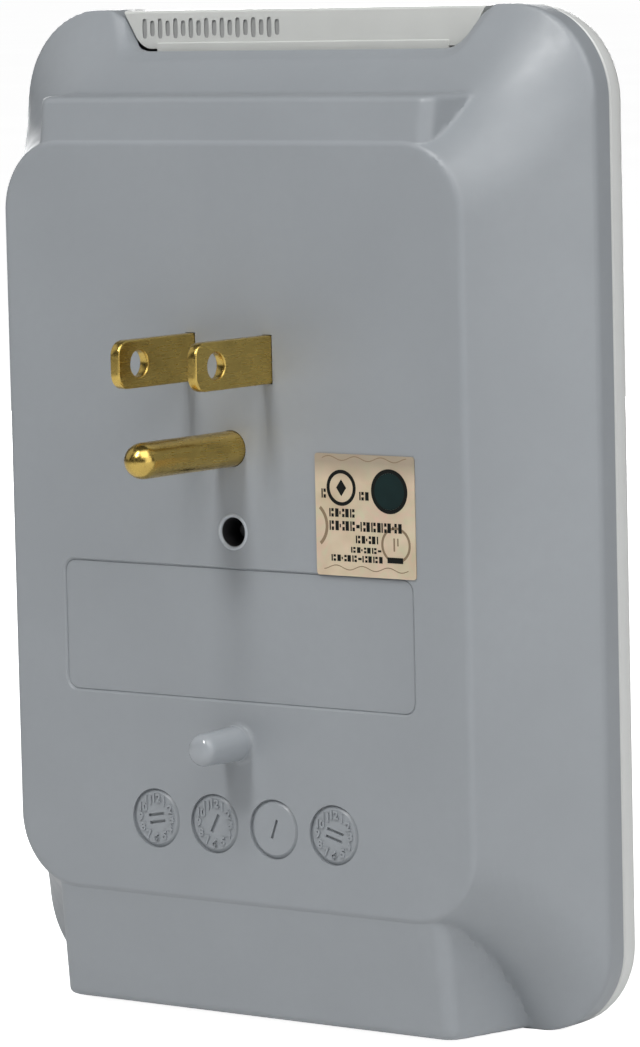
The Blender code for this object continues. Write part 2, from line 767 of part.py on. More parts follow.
def make_board(parent):
    outline = rounded_rectangle(31.5, -46.0, -10.5, 1.5, 2)
    board = add_piece("surge_board", plate(outline, BOARD), BOARD_GREEN, parent)
    holes = [boss(x, z, 1.5, BOARD[0] - 1.0, BOARD[1] + 1.0) for x, z in BOARD_SCREWS]
    cut(board, "holes", combine(holes))
    return board


def make_varistor(name, x, parent):
    z = -37.5
    profile = [(6.0, 3.4), (7.0, 4.2), (7.0, 6.6), (6.0, 7.4)]
    varistor = add_piece(name, turned(profile, (x, 0.0, z), segments=20), VARISTOR_BLUE, parent)
    legs = [block((x + a - 0.4, x + a + 0.4), (5.0, BOARD[0] - GAP), (z + 5.0, z + 8.4)) for a in (-2.5, 2.5)]
    join(varistor, "legs", combine(legs))
    return varistor


def make_axial(name, body_radius, body_length, lead_radius, place, finish, parent):
    """A component that lies along X with a lead at each end."""
    x, depth, z = place
    half = body_length / 2
    profile = [
        (lead_radius, x - half - 3.5),
        (lead_radius, x - half),
        (body_radius * 0.85, x - half),
        (body_radius, x - half + 0.6),
        (body_radius, x + half - 0.6),
        (body_radius * 0.85, x + half),
        (lead_radius, x + half),
        (lead_radius, x + half + 3.5),
    ]
    return add_piece(name, turned(profile, (x, depth, z), "X", 10), finish, parent)


def make_status_led(parent):
    dome = [(1.5 * math.cos(a), 59.4 + 1.5 * math.sin(a)) for a in (0.0, 0.6, 1.2)]
    profile = [(0.8, 55.8), (1.9, 55.8), (1.9, 56.8), (1.5, 56.8)] + dome
    return add_piece("status_led", turned(profile, (0.0, 22.3, 0.0), "Z", 12), LED_GREEN, parent)


def make_wires(parent):
    foot_x = FOOT_END - 1.8
    foot = FOOT_DEPTH + BLADE_THICKNESS + GAP
    board_back = BOARD[0] - GAP
    board_front = BOARD[1] + GAP
    line_x = COLUMN_X + BLADE_X
    line_in = [
        (foot_x, foot, BLADE_Z),
        (foot_x, foot + 2.0, BLADE_Z),
        (24.0, foot + 2.0, 14.0),
        (24.0, foot, -4.0),
        (20.0, 5.6, -15.0),
        (20.0, board_back, -15.0),
    ]
    add_bar("line_in_wire", line_in, 0.9, WIRE_BLACK, parent)
    neutral_in = [
        (-foot_x, foot, BLADE_Z),
        (-foot_x, foot + 2.4, BLADE_Z),
        (-26.0, 9.5, 24.0),
        (-line_x, 11.6, 21.0),
        (-line_x, 12.0, 16.4),
    ]
    add_bar("neutral_in_wire", neutral_in, 0.9, WIRE_WHITE, parent)
    line_out = [
        (26.0, board_front, -13.5),
        (26.0, board_front + 1.6, -13.5),
        (line_x, 12.0, -6.0),
        (line_x, 12.0, 1.6),
    ]
    add_bar("line_out_wire", line_out, 0.9, WIRE_BLACK, parent)
    neutral_tap = [
        (-26.0, board_front, -13.5),
        (-26.0, board_front + 1.6, -13.5),
        (-line_x, 12.0, -4.0),
        (-line_x, 12.0, 11.6),
    ]
    add_bar("neutral_tap_wire", neutral_tap, 0.9, WIRE_WHITE, parent)
    ground_tap = [
        (-13.0, board_front, -13.5),
        (-13.0, board_front + 1.2, -13.5),
        (-17.0, 11.4, -6.0),
        (-COLUMN_X, 11.3, -3.0),
        (-COLUMN_X, GROUND_STRIP[0] - GAP, -3.0),
    ]
    add_bar("ground_tap_wire", ground_tap, 0.7, WIRE_GREEN, parent)
    for name, side, finish in (("led_wire_red", 1, WIRE_RED), ("led_wire_black", -1, WIRE_BLACK)):
        led = [
            (side * 9.0, board_front, -13.0),
            (side * 9.0, 11.4, -13.0),
            (side * 9.0, 11.4, 30.0),
            (side * 4.0, 11.4, 50.0),
            (side * 1.2, 13.2, 55.4),
            (side * 1.2, 18.0, 55.6),
            (side * 1.2, 22.3, 53.0),
            (side * 1.2, 22.3, 55.4),
        ]
        add_bar(name, led, 0.45, finish, parent)


# Safety shutters.


def make_shutter(number, side, column, z, parent):
    """A plate that covers both slots at rest and opens them when it has slid outwards."""
    height = (z - SHUTTER_HALF_HEIGHT, z + SHUTTER_HALF_HEIGHT)
    solid = outward_block(column, side, (SHUTTER_INNER, SHUTTER_OUTER), SHUTTER_DEPTHS, height)
    name = "shutter_" + str(number)
    shutter = add_piece(name, solid, SHUTTER_GREY, parent, (column, SHUTTER_DEPTHS[0], z))
    tab = (TAB_DEPTH, SHUTTER_DEPTHS[1] - 0.1)
    tab_along = (SHUTTER_OUTER - 0.3, SPRING_START - GAP)
    join(shutter, "tab", outward_block(column, side, tab_along, tab, (z - 2.0, z + 2.0)))
    depth = (SHUTTER_DEPTHS[0] - 1.0, SHUTTER_DEPTHS[1] + 1.0)
    cut(shutter, "window", outward_block(column, side, WINDOW, depth, (z - 4.6, z + 4.6)))
    return shutter


def make_spring(number, side, column, z, parent):
    middle = (TAB_DEPTH + SHUTTER_DEPTHS[1]) / 2
    steps = int(SPRING_TURNS * 8)
    reach = SPRING_END - SPRING_START - 2 * SPRING_WIRE
    path = []
    for k in range(steps + 1):
        angle = math.tau * k / 8
        along = SPRING_START + SPRING_WIRE + reach * k / steps
        depth = middle + SPRING_RADIUS * math.cos(angle)
        path.append((column + side * along, depth, z + SPRING_RADIUS * math.sin(angle)))
    origin = (column + side * SPRING_END, middle, z)
    name = "shutter_spring_" + str(number)
    return add_bar(name, path, SPRING_WIRE, STEEL, parent, origin, bends=False)


def clear_scene():
    for obj in list(bpy.data.objects):
        bpy.data.objects.remove(obj)


def make_empty(name, point, parent=None):
    empty = place_object(name, None, Vector(point))
    empty.parent = parent
    bpy.context.view_layer.update()
    return empty


def main():
    clear_scene()
    tap = make_empty("surge_protector", FRAME_ORIGIN)
    make_rear_housing(tap)
    make_front_housing(tap)
    make_light_bar(tap)
    make_label(tap)
    make_blade("line_blade", 1, tap)
    make_blade("neutral_blade", -1, tap)
    make_ground_pin(tap)
    make_blade_holder(tap)
    make_strips(tap)
    make_carrier(tap)
    make_board(tap)
    for k, place in enumerate(HOLDER_SCREWS):
        make_tapping_screw("holder_screw_" + str(k + 1), place, HOLDER[1] + GAP, 1.7, tap)
    for k, place in enumerate(BOARD_SCREWS):
        make_tapping_screw("board_screw_" + str(k + 1), place, BOARD[1] + GAP, 3.0, tap)
    for k, place in enumerate(CARRIER_SCREWS):
        make_tapping_screw("carrier_screw_" + str(k + 1), place, CARRIER[0] - GAP, 21.5, tap)
    for k in range(3):
        make_varistor("varistor_" + str(k + 1), (k - 1) * 17.0, tap)
    make_axial("thermal_fuse", 1.9, 10.0, 0.5, (-12.0, 5.4, -22.0), FUSE_SILVER, tap)
    make_axial("led_resistor", 1.2, 6.0, 0.3, (9.0, 6.6, -16.0), RESISTOR_TAN, tap)
    make_axial("led_diode", 1.3, 5.0, 0.4, (9.0, 6.4, -22.5), BLACK_PLASTIC, tap)
    make_status_led(tap)
    make_wires(tap)
    screw_axis = make_empty("screw_axis", (0.0, -SCREW_HEAD_DEPTH, 0.0), tap)
    make_mounting_screw(screw_axis)
    washer_depth = (SCREW_HEAD_DEPTH - GAP - 0.8, SCREW_HEAD_DEPTH - GAP)
    make_ring("screw_washer", 2.0, 3.9, washer_depth, STEEL, screw_axis)
    ring_depth = (TUBE_FLOOR_DEPTH + GAP, TUBE_FLOOR_DEPTH + GAP + 0.8)
    make_ring("retaining_ring", 1.55, 4.2, ring_depth, NYLON, tap)
    for number, side, column, z in outlets():
        make_shutter(number, side, column, z, tap)
        make_spring(number, side, column, z, tap)


main()
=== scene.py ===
"""The looks of a six-outlet surge protector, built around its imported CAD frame.

Dimensions are millimetres. Heights run from the mounting screw's axis, and a depth runs from
the flat back towards the outlets, so y = -depth. A solid is a (points, faces) pair in these
units, and make_object scales it and moves it into the frame.
"""

import json
from collections import namedtuple
from math import atan2, copysign, cos, hypot, pi, radians, sin, sqrt, tau

import bmesh
import bpy
import numpy as np
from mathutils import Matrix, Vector


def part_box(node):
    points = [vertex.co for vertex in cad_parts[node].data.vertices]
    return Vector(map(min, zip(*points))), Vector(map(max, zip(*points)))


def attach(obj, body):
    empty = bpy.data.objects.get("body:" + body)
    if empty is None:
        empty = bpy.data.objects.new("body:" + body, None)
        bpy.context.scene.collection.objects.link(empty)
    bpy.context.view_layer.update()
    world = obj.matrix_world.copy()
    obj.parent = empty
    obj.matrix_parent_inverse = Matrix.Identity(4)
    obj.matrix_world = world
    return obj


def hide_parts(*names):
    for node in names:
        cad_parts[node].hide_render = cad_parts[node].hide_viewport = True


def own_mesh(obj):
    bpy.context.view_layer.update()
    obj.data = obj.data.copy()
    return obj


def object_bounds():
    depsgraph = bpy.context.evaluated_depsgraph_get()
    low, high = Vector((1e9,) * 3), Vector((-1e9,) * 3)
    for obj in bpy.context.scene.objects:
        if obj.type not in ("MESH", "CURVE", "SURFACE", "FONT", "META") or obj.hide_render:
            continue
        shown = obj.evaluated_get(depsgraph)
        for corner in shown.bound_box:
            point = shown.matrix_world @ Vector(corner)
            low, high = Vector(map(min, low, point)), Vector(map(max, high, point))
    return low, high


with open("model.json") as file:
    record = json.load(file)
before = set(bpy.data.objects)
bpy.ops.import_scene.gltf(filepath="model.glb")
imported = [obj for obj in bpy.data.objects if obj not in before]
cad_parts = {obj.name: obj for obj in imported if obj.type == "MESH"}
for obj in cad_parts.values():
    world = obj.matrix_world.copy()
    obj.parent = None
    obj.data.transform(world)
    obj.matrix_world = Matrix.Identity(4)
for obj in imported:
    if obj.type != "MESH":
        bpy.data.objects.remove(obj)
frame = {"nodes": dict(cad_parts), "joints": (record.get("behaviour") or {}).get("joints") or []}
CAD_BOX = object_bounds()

MM = 0.001
SCREW_AXIS = next(Vector(j["pos_m"]) for j in frame["joints"] if j["name"] == "screw_turn")
AXIS_Z = SCREW_AXIS.z

Span = namedtuple("Span", "x depth z")


def span(node):
    """A CAD node's (low, high) pairs in x, depth and height."""
    low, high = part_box(node)
    return Span(
        (low.x / MM, high.x / MM),
        (-high.y / MM, -low.y / MM),
        ((low.z - AXIS_Z) / MM, (high.z - AXIS_Z) / MM),
    )


# Sizes that the frame gives.
REAR = span("rear_housing")
FRONT = span("front_housing")
BAR = span("light_bar")
LABEL = span("listing_label")
BLADE = span("line_blade")
PIN = span("ground_pin")
SCREW = span("mounting_screw")
RIM_HALF_WIDTH = REAR.x[1]
RIM_BOTTOM, RIM_TOP = REAR.z
SEAM_DEPTH = REAR.depth[1]
FRONT_DEPTH = FRONT.depth[1]
BLADE_Z = sum(BLADE.z) / 2
PIN_Z = sum(PIN.z) / 2
SCREW_HEAD_DEPTH = -SCREW_AXIS.y / MM

GAP = 0.3
WALL = 2.4
# How far a cutter runs past what it cuts.
PAST = 1.0

# Rear housing: a flat back, a cove-shaped flare down to the rim, and a lengthwise hump.
FLAT_HALF_WIDTH = 37.8
FLAT_BOTTOM = -49.5
FLAT_TOP = 51.2
FLAT_CORNER = 9.5
FLAT_ROUNDING = 0.6
RIM_CORNER = 11.3
RIM_TOP_CORNER = 12.6
RIM_ROUNDING = 0.5
FLARE_DEPTH = 16.8
END_TURN = radians(44)
SIDE_TURN = radians(12)
HUMP_HALF_WIDTH = 32.2
HUMP_DRAFT = 0.15
HUMP_TOP = (57.1, 1.2)
HUMP_BOTTOM = (-65.1, 2.0)
HUMP_SINK = 0.32
HUMP_ROUNDING = 1.0
HUMP_SIDE_ROUNDING = 2.0
# The fillet between hump and flare grows from the first to the second over a range of depth.
HUMP_FILLET = (0.05, 0.5)
HUMP_FILLET_DEPTH = (1.5, 3.5)
PEG_Z = -28.0
PEG_RADIUS = 2.4
PEG_DRAFT = 0.035
PEG_TIP_ROUNDING = 1.35
PEG_FILLET = 0.6
# From this depth outwards the peg takes its glossy grey, painted a little lighter than the housing as
# painted light.
PEG_GLOSS_AND_PAINTED_LIGHT_START = 0.9
# Coarse and fine steps of the grid that the rear housing is drawn on.
FACE_STEPS = (1.1, 0.45)
DEPTH_STEPS = (0.7, 0.35)
FINEST_STEP = 0.2
REAR_BOSS_RADIUS = 2.6
REAR_PILOT_RADIUS = 1.3
CENTRE_BOSS_RADIUS = 4.0
PLUG_CLEARANCE = 0.06

# Marks of the flat back.
RECESS_HALF_WIDTH = 29.0
RECESS_BOTTOM = -22.5
RECESS_TOP = LABEL.z[0] - 0.05
RECESS_CORNER = 1.75
# Depth and how far out: a chamfered edge, then a fine groove at the foot.
RECESS_PROFILE = ((-1.0, 1.25), (0.0, 0.25), (0.13, 0.07), (0.36, -0.03), (0.25, -0.17))
DIAL_Z = -39.1
DIAL_RADIUS = 4.0
DIAL_PITCH = 9.9
DIAL_MIDDLE_X = -0.65
DIAL_DEPTH = 0.5
DIAL_FACE = 0.12
DIAL_CLEARANCE = 0.08
DIAL_SLOPE = 0.5
DIAL_CENTRE = 0.2
# Each dial's pointer: its turn, width and how far it is split into two bars.
DIAL_POINTERS = ((10.0, 0.4, 1.0), (62.0, 0.55, 0.0), (70.0, 0.4, 0.0), (-15.0, 0.4, 1.0))
POINTER_REACH = 1.35
POINTER_DEPTH = 0.35
PLAIN_DIAL = 3
DIGIT_CIRCLE = 2.65
DIGIT_SIZE = 1.5
DIGIT_RELIEF = 0.22
DIGIT_BOLD = 0.06
SCREW_HOLE_RADIUS = 1.925
SCREW_HOLE_MOUTH = 2.1
MOUTH_DEPTH = 0.15
HOLE_RING_RADIUS = SCREW_HOLE_MOUTH + 0.12
HOLE_RING_DEPTH = 0.1
HOLE_RING_WIRE = 0.24

# Notch at the top, and the light bar in it.
NOTCH_FLOOR = 62.7
NOTCH_FLOOR_HALF = 27.2
NOTCH_SLANT = 0.6
NOTCH_CORNER = 1.9
NOTCH_CHAMFER = 1.2
NOTCH_CUT = (9.0, 32.0)
BAR_CORNER = 1.6
BAR_EDGE = 0.25
BAR_FOOT_HALF = 24.3
MARK_COUNT = 18
MARK_START = 26.5
MARK_PITCH = 1.33
MARK_Z = 65.75
MARK_HALF_WIDTH = 0.4
MARK_HALF_HEIGHTS = (1.35, 1.05)
MARK_POWER = 0.55

# Front housing: a tray with a rounded, slightly crowned front, and a lip in the rear housing.
CROWN_INSET = 14.0
CROWN_START = 21.2
CROWN_POWER = 2.45
CROWN_STEPS = 14
LIP_DEPTH = 18.9
LIP_INSET = WALL + 0.4
LIP_WALL = 1.2
FRONT_INSIDE = 25.0
INSIDE_ROUNDING = (2.0, 3.5)
# Ribs inside: rails beside each shutter, and a stop behind its spring.
RAIL_OFFSETS = (5.6 + GAP, 5.6 + GAP + 1.0)
RAIL_REACH = (-9.0, 13.5)
RAIL_START = 22.4
STOP_REACH = (16.0, 17.2)
STOP_START = 21.6
STOP_HALF_HEIGHT = 2.5
TUBE_RADIUS = 6.2
TUBE_BORE = 4.6
TUBE_FLOOR_DEPTH = 12.0
TUBE_HOLE = 2.0
FRONT_PILOT_RADIUS = 1.35
FRONT_BOSS_RADIUS = 2.7

# Outlets: two columns of three.
COLUMN_X = 22.0
ROW_Z = (36.0, -2.0, -40.0)
SLOT_RISE = 4.5
GROUND_DROP = 7.4
SLOT_X = 6.35
SLOT_WIDTH = 2.0
SLOT_CORNER = 0.3
LINE_SLOT = 7.4
NEUTRAL_SLOT = 8.6
GROUND_RADIUS = 2.75
MOUTH_FLARE = 0.45
FRAME_HALF_WIDTH = 14.6
FRAME_HALF_HEIGHT = 13.3
FRAME_DROP = 0.5
FRAME_CORNER = 8.0
# The frame's groove: depth and inset.
FRAME_GROOVE = tuple((FRONT_DEPTH + d, by) for d, by in ((1, 0), (-0.4, 0.25), (-0.4, 0.45), (1, 0.7)))

# Places of the screws inside.
CARRIER_SCREWS = ((35.0, 50.6), (-35.0, 50.6), (-35.0, -49.0), (35.0, -49.0))
BOARD_SCREWS = ((28.3, -28.0), (-28.3, -28.0))
HOLDER_SCREWS = ((12.0, 8.5), (-12.0, 8.5))

# Plug and screw.
BLADE_THICKNESS = 1.5
BLADE_X = BLADE.x[0] + BLADE_THICKNESS / 2
BLADE_HOLE_Y = 11.6
BLADE_HOLE_RADIUS = 1.75
BLADE_TIP_CORNER = 2.0
BLADE_BEND = 1.7
BLADE_FOOT_BEND = 0.3
BLADE_EDGE = 0.28
PIN_RADIUS = 2.375
PIN_TIP = 2.6
PIN_FLANGE = 4.0
PIN_FLANGE_DEPTH = (2.8, 4.4)
PIN_TAIL = 1.5
THREAD_PITCH = 0.794
THREAD_LENGTH = 9.0
THREAD_ROOT = 1.35
THREAD_CREST = 1.75
WASHER_BORE = 2.0
WASHER_CHAMFERS = (0.1, 0.15)

# Springs of the shutters.
SPRING_WIRE = 0.2
SPRING_TURNS = 6.5
SPRING_CLOSED = 0.75
SPRING_STEPS = 156

# Printing on the label, measured from its top left corner as seen from behind.
PRINT_DEPTHS = (LABEL.depth[0] - 0.02, LABEL.depth[0] + 0.03)
TINT_SINK = 0.01
# Rings: right, down, radius and width.
LEFT_RING = (4.2, 4.4, 2.35, 0.48)
RIGHT_RING = (11.9, 4.6, 2.9, 0.52)
PALE_RING = (12.8, 11.5, 2.35, 0.34)
LABEL_DIAMOND = ((4.2, 3.3), (5.0, 4.4), (4.2, 5.5), (3.4, 4.4))
LABEL_SPOT_RADIUS = 2.375
# Part of a wide ring at the left edge: its centre, and outer and inner radius.
PALE_BOW = ((-1.3, 9.4), 3.3, 2.85)
# Rows of strokes: right, down, length and height.
LABEL_ROWS = (
    (1.0, 4.6, 0.7, 1.2),
    (7.1, 4.8, 1.5, 1.1),
    (2.2, 7.1, 4.2, 1.1),
    (2.2, 8.7, 11.8, 1.25),
    (6.4, 10.5, 3.8, 1.0),
    (5.6, 12.0, 5.0, 0.75),
    (2.4, 13.1, 8.3, 0.85),
)

# Colours.
GREY = (0.290, 0.310, 0.330)
WHITE = (0.66, 0.67, 0.66)
FROST = (0.61, 0.62, 0.60)

# CAD nodes that stay, by the finish that they take.
KEPT = {
    "black_plastic": ("blade_holder", "contact_carrier", "led_diode"),
    "strip_brass": ("line_bus", "neutral_bus", "ground_bus"),
    "white_nylon": ("retaining_ring",),
    "shutter_grey": tuple("shutter_" + str(k) for k in range(1, 7)),
    "board_green": ("surge_board",),
    "varistor_blue": ("varistor_1", "varistor_2", "varistor_3"),
    "fuse_silver": ("thermal_fuse",),
    "resistor_tan": ("led_resistor",),
    "led_green": ("status_led",),
    "wire_black": ("line_in_wire", "line_out_wire", "led_wire_black"),
    "wire_white": ("neutral_in_wire", "neutral_tap_wire"),
    "wire_green": ("ground_tap_wire",),
    "wire_red": ("led_wire_red",),
}

# Studio, in metres, degrees and watts. Each light: name, place, width and power.
CAMERA_PLACE = (-0.43493, 0.55378, 0.05137)
CAMERA_TURN = (84.0466, 1.3097, -142.9232)
CAMERA_LENS = 185.29
LIGHTS = (
    ("key", (0.0, 0.7, 0.6), 0.16, 2.6),
    ("top", (0.0, 0.5, 0.75), 0.16, 1.8),
    ("upright", (-0.6, 0.3, 0.75), 0.8, 5.4),
    ("right", (-0.9, 0.15, 0.15), 0.6, 1.6),
    ("left", (0.8, 0.25, 0.45), 0.8, 1.0),
    ("front", (0.6, -0.8, 0.05), 0.6, 7.0),
)
FLOOR_HALF = 40.0
# Strengths towards the object and towards the camera.
WORLD_GLOW = (0.06, 1.05)
FLOOR_GLOW = (0.03, 1.07)


# Solids.


def signed_volume(points, faces):
    """Positive where the faces point out of the solid."""
    volume = 0.0
    for face in faces:
        first = Vector(points[face[0]])
        for i, j in zip(face[1:], face[2:]):
            volume += first.dot(Vector(points[i]).cross(Vector(points[j])))
    return volume


def loft(rings, closed=False):
    """Joins rings of equal length in order, and caps both ends or joins the last ring to the first."""
    count = len(rings[0])
    points = [tuple(point) for ring in rings for point in ring]
    faces = []
    for k in range(len(rings) - (0 if closed else 1)):
        here = k * count
        ahead = (k + 1) % len(rings) * count
        for i in range(count):
            j = (i + 1) % count
            faces.append((here + i, here + j, ahead + j, ahead + i))
    if not closed:
        faces.append(tuple(reversed(range(count))))
        faces.append(tuple(range(len(points) - count, len(points))))
    if signed_volume(points, faces) < 0:
        faces = [face[::-1] for face in faces]
    return points, faces


def combine(solids):
    points = []
    faces = []
    for some_points, some_faces in solids:
        start = len(points)
        points += some_points
        faces += [tuple(start + i for i in face) for face in some_faces]
    return points, faces


def at_depth(outline, depth):
    """A ring of an (x, z) outline."""
    return [(x, -depth, z) for x, z in outline]


def plate(outline, depth):
    """An outline of (x, z) points, between two depths."""
    return loft([at_depth(outline, d) for d in depth])


def stepped(outline_of, profile, closed=False):
    """Rings of outline_of(by), for each (depth, by) of the profile."""
    return loft([at_depth(outline_of(by), depth) for depth, by in profile], closed)


def block(x, depth, z):
    return plate(((x[0], z[0]), (x[1], z[0]), (x[1], z[1]), (x[0], z[1])), depth)


def upright(outline, z):
    """An outline of (x, depth) points, between two heights."""
    return loft([[(x, -d, height) for x, d in outline] for height in z])


def across(profile, half_width):
    """A side profile of (z, depth) points, spread to plus and minus half_width(z)."""
    return loft([[(side * half_width(z), -d, z) for z, d in profile] for side in (-1, 1)])


def sideways(outline, x):
    """An outline of (y, z) points, between two x."""
    return loft([[(side, y, z) for y, z in outline] for side in x])


def circle(segments):
    """The cosine and sine of evenly spaced turns."""
    angles = [tau * i / segments for i in range(segments)]
    return [(cos(t), sin(t)) for t in angles]


def rings_at(centre, profile, segments=28):
    """Rings about an axis along Y through (x, z), one for each (radius, depth)."""
    x, z = centre
    return [[(x + r * c, -depth, z + r * s) for c, s in circle(segments)] for r, depth in profile]


def turned(profile, centre=(0.0, 0.0), segments=48, closed=False):
    return loft(rings_at(centre, profile, segments), closed)


def boss(centre, radius, low, high, segments=32):
    return turned([(radius, low), (radius, high)], centre, segments)


def arc(centre, radius, start, end, steps):
    """Points of an arc about (a, b), angles in degrees."""
    angles = [radians(start + (end - start) * k / steps) for k in range(steps + 1)]
    return [(centre[0] + radius * cos(t), centre[1] + radius * sin(t)) for t in angles]


def rounded_rectangle(half_width, bottom, top, corner, steps=8, middle=0.0, upper=None):
    """Outline of (x, z) points with rounded corners, whose upper two may have their own radius."""
    outline = []
    for quarter, (right, up) in enumerate(((1, 1), (-1, 1), (-1, -1), (1, -1))):
        radius = upper if upper and up > 0 else corner
        x = middle + right * (half_width - radius)
        z = top - radius if up > 0 else bottom + radius
        outline += arc((x, z), radius, 90 * quarter, 90 * (quarter + 1), steps)
    return outline


def tube_along(path, radius, segments):
    """A round bar along a path of (x, y, z) points."""
    places = [Vector(p) for p in path]
    rings = []
    up = Vector((0.3, 0.5, 0.8))
    for k, place in enumerate(places):
        ahead = (places[min(k + 1, len(places) - 1)] - places[max(k - 1, 0)]).normalized()
        side = up.cross(ahead).normalized()
        up = ahead.cross(side)
        rings.append([place + radius * (side * c + up * s) for c, s in circle(segments)])
    return loft(rings)


def moved(solid, x, depth, z):
    points, faces = solid
    return [(a + x, b - depth, c + z) for a, b, c in points], faces


# Fields: a number at every (x, depth, z), negative inside.


def smooth_max(a, b, blend):
    h = np.maximum(blend - np.abs(a - b), 0.0)
    return np.maximum(a, b) + h * h / (4 * blend)


def chamfered_max(a, b, leg):
    return np.maximum(np.maximum(a, b), (a + b + leg) / sqrt(2))


def smooth_min(a, b, blend):
    return -smooth_max(-a, -b, blend)


def rounded_corner(a, b, radius):
    """The field of a convex corner between two faces, rounded by the radius."""
    a = a + radius
    b = b + radius
    return np.hypot(np.maximum(a, 0.0), np.maximum(b, 0.0)) + np.minimum(np.maximum(a, b), 0.0) - radius


def cove_reach(depth, run, turn, wall=0.0):
    """How far the cove, or its inner face under a wall, stands out from the flat back's outline."""
    lean = atan2(FLARE_DEPTH, run) + turn / 2
    radius = hypot(run, FLARE_DEPTH) / (2 * sin(turn / 2))
    drop = np.minimum(np.maximum(depth, 0.0) + radius * cos(lean), (radius + wall) * 0.999)
    reach = radius * sin(lean) - np.sqrt((radius + wall) ** 2 - drop**2)
    return smooth_min(reach, run - wall, RIM_ROUNDING)


def flare_field(x, depth, z, wall=0.0):
    """The flared body, without its flat back: a rounded rectangle that grows with depth."""
    side = FLAT_HALF_WIDTH + cove_reach(depth, RIM_HALF_WIDTH - FLAT_HALF_WIDTH, SIDE_TURN, wall)
    top = FLAT_TOP + cove_reach(depth, RIM_TOP - FLAT_TOP, END_TURN, wall)
    bottom = FLAT_BOTTOM - cove_reach(depth, FLAT_BOTTOM - RIM_BOTTOM, END_TURN, wall)
    share = np.clip(depth / FLARE_DEPTH, 0.0, 1.0)
    rim_corner = np.where(z > 0, RIM_TOP_CORNER, RIM_CORNER)
    corner = FLAT_CORNER + (rim_corner - FLAT_CORNER) * share - wall
    return rounded_corner(np.abs(x) - side, np.abs(z - (top + bottom) / 2) - (top - bottom) / 2, corner)


def slope_field(depth, z, start, end):
    """Distance from the line through two (z, depth) points, negative on its deeper side."""
    run, drop = end[0] - start[0], end[1] - start[1]
    length = hypot(run, drop)
    return ((z - start[0]) * drop - (depth - start[1]) * run) / length * copysign(1.0, run)


def hump_field(x, depth, z):
    """The lengthwise hump, with its two tilted ends."""
    top_end = slope_field(depth, z, HUMP_TOP, (HUMP_TOP[0] + 0.4, SEAM_DEPTH))
    bottom_end = slope_field(depth, z, (RIM_BOTTOM + 0.15, SEAM_DEPTH), HUMP_BOTTOM)
    top_band = slope_field(depth, z, (FLAT_TOP - 0.1, HUMP_SINK), HUMP_TOP)
    bottom_band = slope_field(depth, z, HUMP_BOTTOM, (FLAT_BOTTOM + 0.1, HUMP_SINK))
    back = np.maximum(np.maximum(top_band, bottom_band), HUMP_SINK - depth)
    sides = (np.abs(x) - HUMP_HALF_WIDTH - HUMP_DRAFT * depth) / hypot(1.0, HUMP_DRAFT)
    ends = np.maximum(top_end, bottom_end)
    return smooth_max(smooth_max(back, sides, HUMP_SIDE_ROUNDING), ends, HUMP_ROUNDING)


def notch_field(x, z):
    """The notch's outline with rounded lower corners, negative inside it."""
    sides = (np.abs(x) - notch_half(z)) / hypot(1.0, NOTCH_SLANT)
    return smooth_max(sides, NOTCH_FLOOR - z, NOTCH_CORNER)


def peg_field(x, depth, z):
    length = -REAR.depth[0]
    radial = np.hypot(x, z - PEG_Z) - PEG_RADIUS - PEG_DRAFT * depth
    return np.maximum(rounded_corner(radial, -depth - length, PEG_TIP_ROUNDING), depth - WALL)


def rear_field(x, depth, z):
    """The rear housing's shell, closed a little past its seam."""
    body = smooth_max(flare_field(x, depth, z), -depth, FLAT_ROUNDING)
    (least, most), (start, end) = HUMP_FILLET, HUMP_FILLET_DEPTH
    fillet = least + (most - least) * np.clip((depth - start) / (end - start), 0.0, 1.0)
    hump = hump_field(x, depth, z)
    outside = chamfered_max(smooth_min(body, hump, fillet), -notch_field(x, z), NOTCH_CHAMFER)
    inside = np.minimum(np.maximum(flare_field(x, depth, z, WALL), WALL - depth), hump + WALL)
    shell = np.maximum(outside, -inside)
    shell = smooth_min(shell, peg_field(x, depth, z), PEG_FILLET)
    return np.maximum(shell, depth - SEAM_DEPTH - 0.8)


def graded(low, high, steps, spots, edges=()):
    """Grid positions from low to high, close together within (from, to) spots, and closest at edges."""
    coarse, fine = steps
    positions = [low]
    while positions[-1] < high:
        here = positions[-1]
        step = coarse
        if any(start - coarse <= here <= end for start, end in spots):
            step = fine
        if any(start - fine <= here <= end for start, end in edges):
            step = FINEST_STEP
        positions.append(here + step)
    return np.array(positions)


def crossings(value, axes, cells):
    """The mean place where the field changes sign on the edges of each cell."""
    total = np.zeros((len(cells), 3))
    count = np.zeros(len(cells))
    for axis in range(3):
        others = [k for k in range(3) if k != axis]
        for offsets in np.ndindex(2, 2):
            start = cells.copy()
            start[:, others] += offsets
            end = start.copy()
            end[:, axis] += 1
            a = value[tuple(start.T)]
            b = value[tuple(end.T)]
            changes = (a < 0) != (b < 0)
            share = np.where(changes, a / np.where(changes, a - b, 1.0), 0.0)
            place = np.stack([axes[k][start[:, k]] for k in range(3)], axis=1)
            place[:, axis] += share * (axes[axis][end[:, axis]] - axes[axis][start[:, axis]])
            total += place * changes[:, None]
            count += changes
    return total / count[:, None]


def settle(field, points, rounds=5, reach=0.02):
    """Moves points along the field's slope until they lie on its zero surface."""
    for _ in range(rounds):
        value = field(*points.T)
        slope = np.empty_like(points)
        for axis in range(3):
            step = np.zeros(3)
            step[axis] = reach
            slope[:, axis] = (field(*(points + step).T) - field(*(points - step).T)) / (2 * reach)
        length = np.maximum((slope**2).sum(axis=1), 0.05)
        move = slope * (value / length)[:, None]
        far = np.maximum(np.linalg.norm(move, axis=1) / 0.4, 1.0)
        points = points - move / far[:, None]
    return points


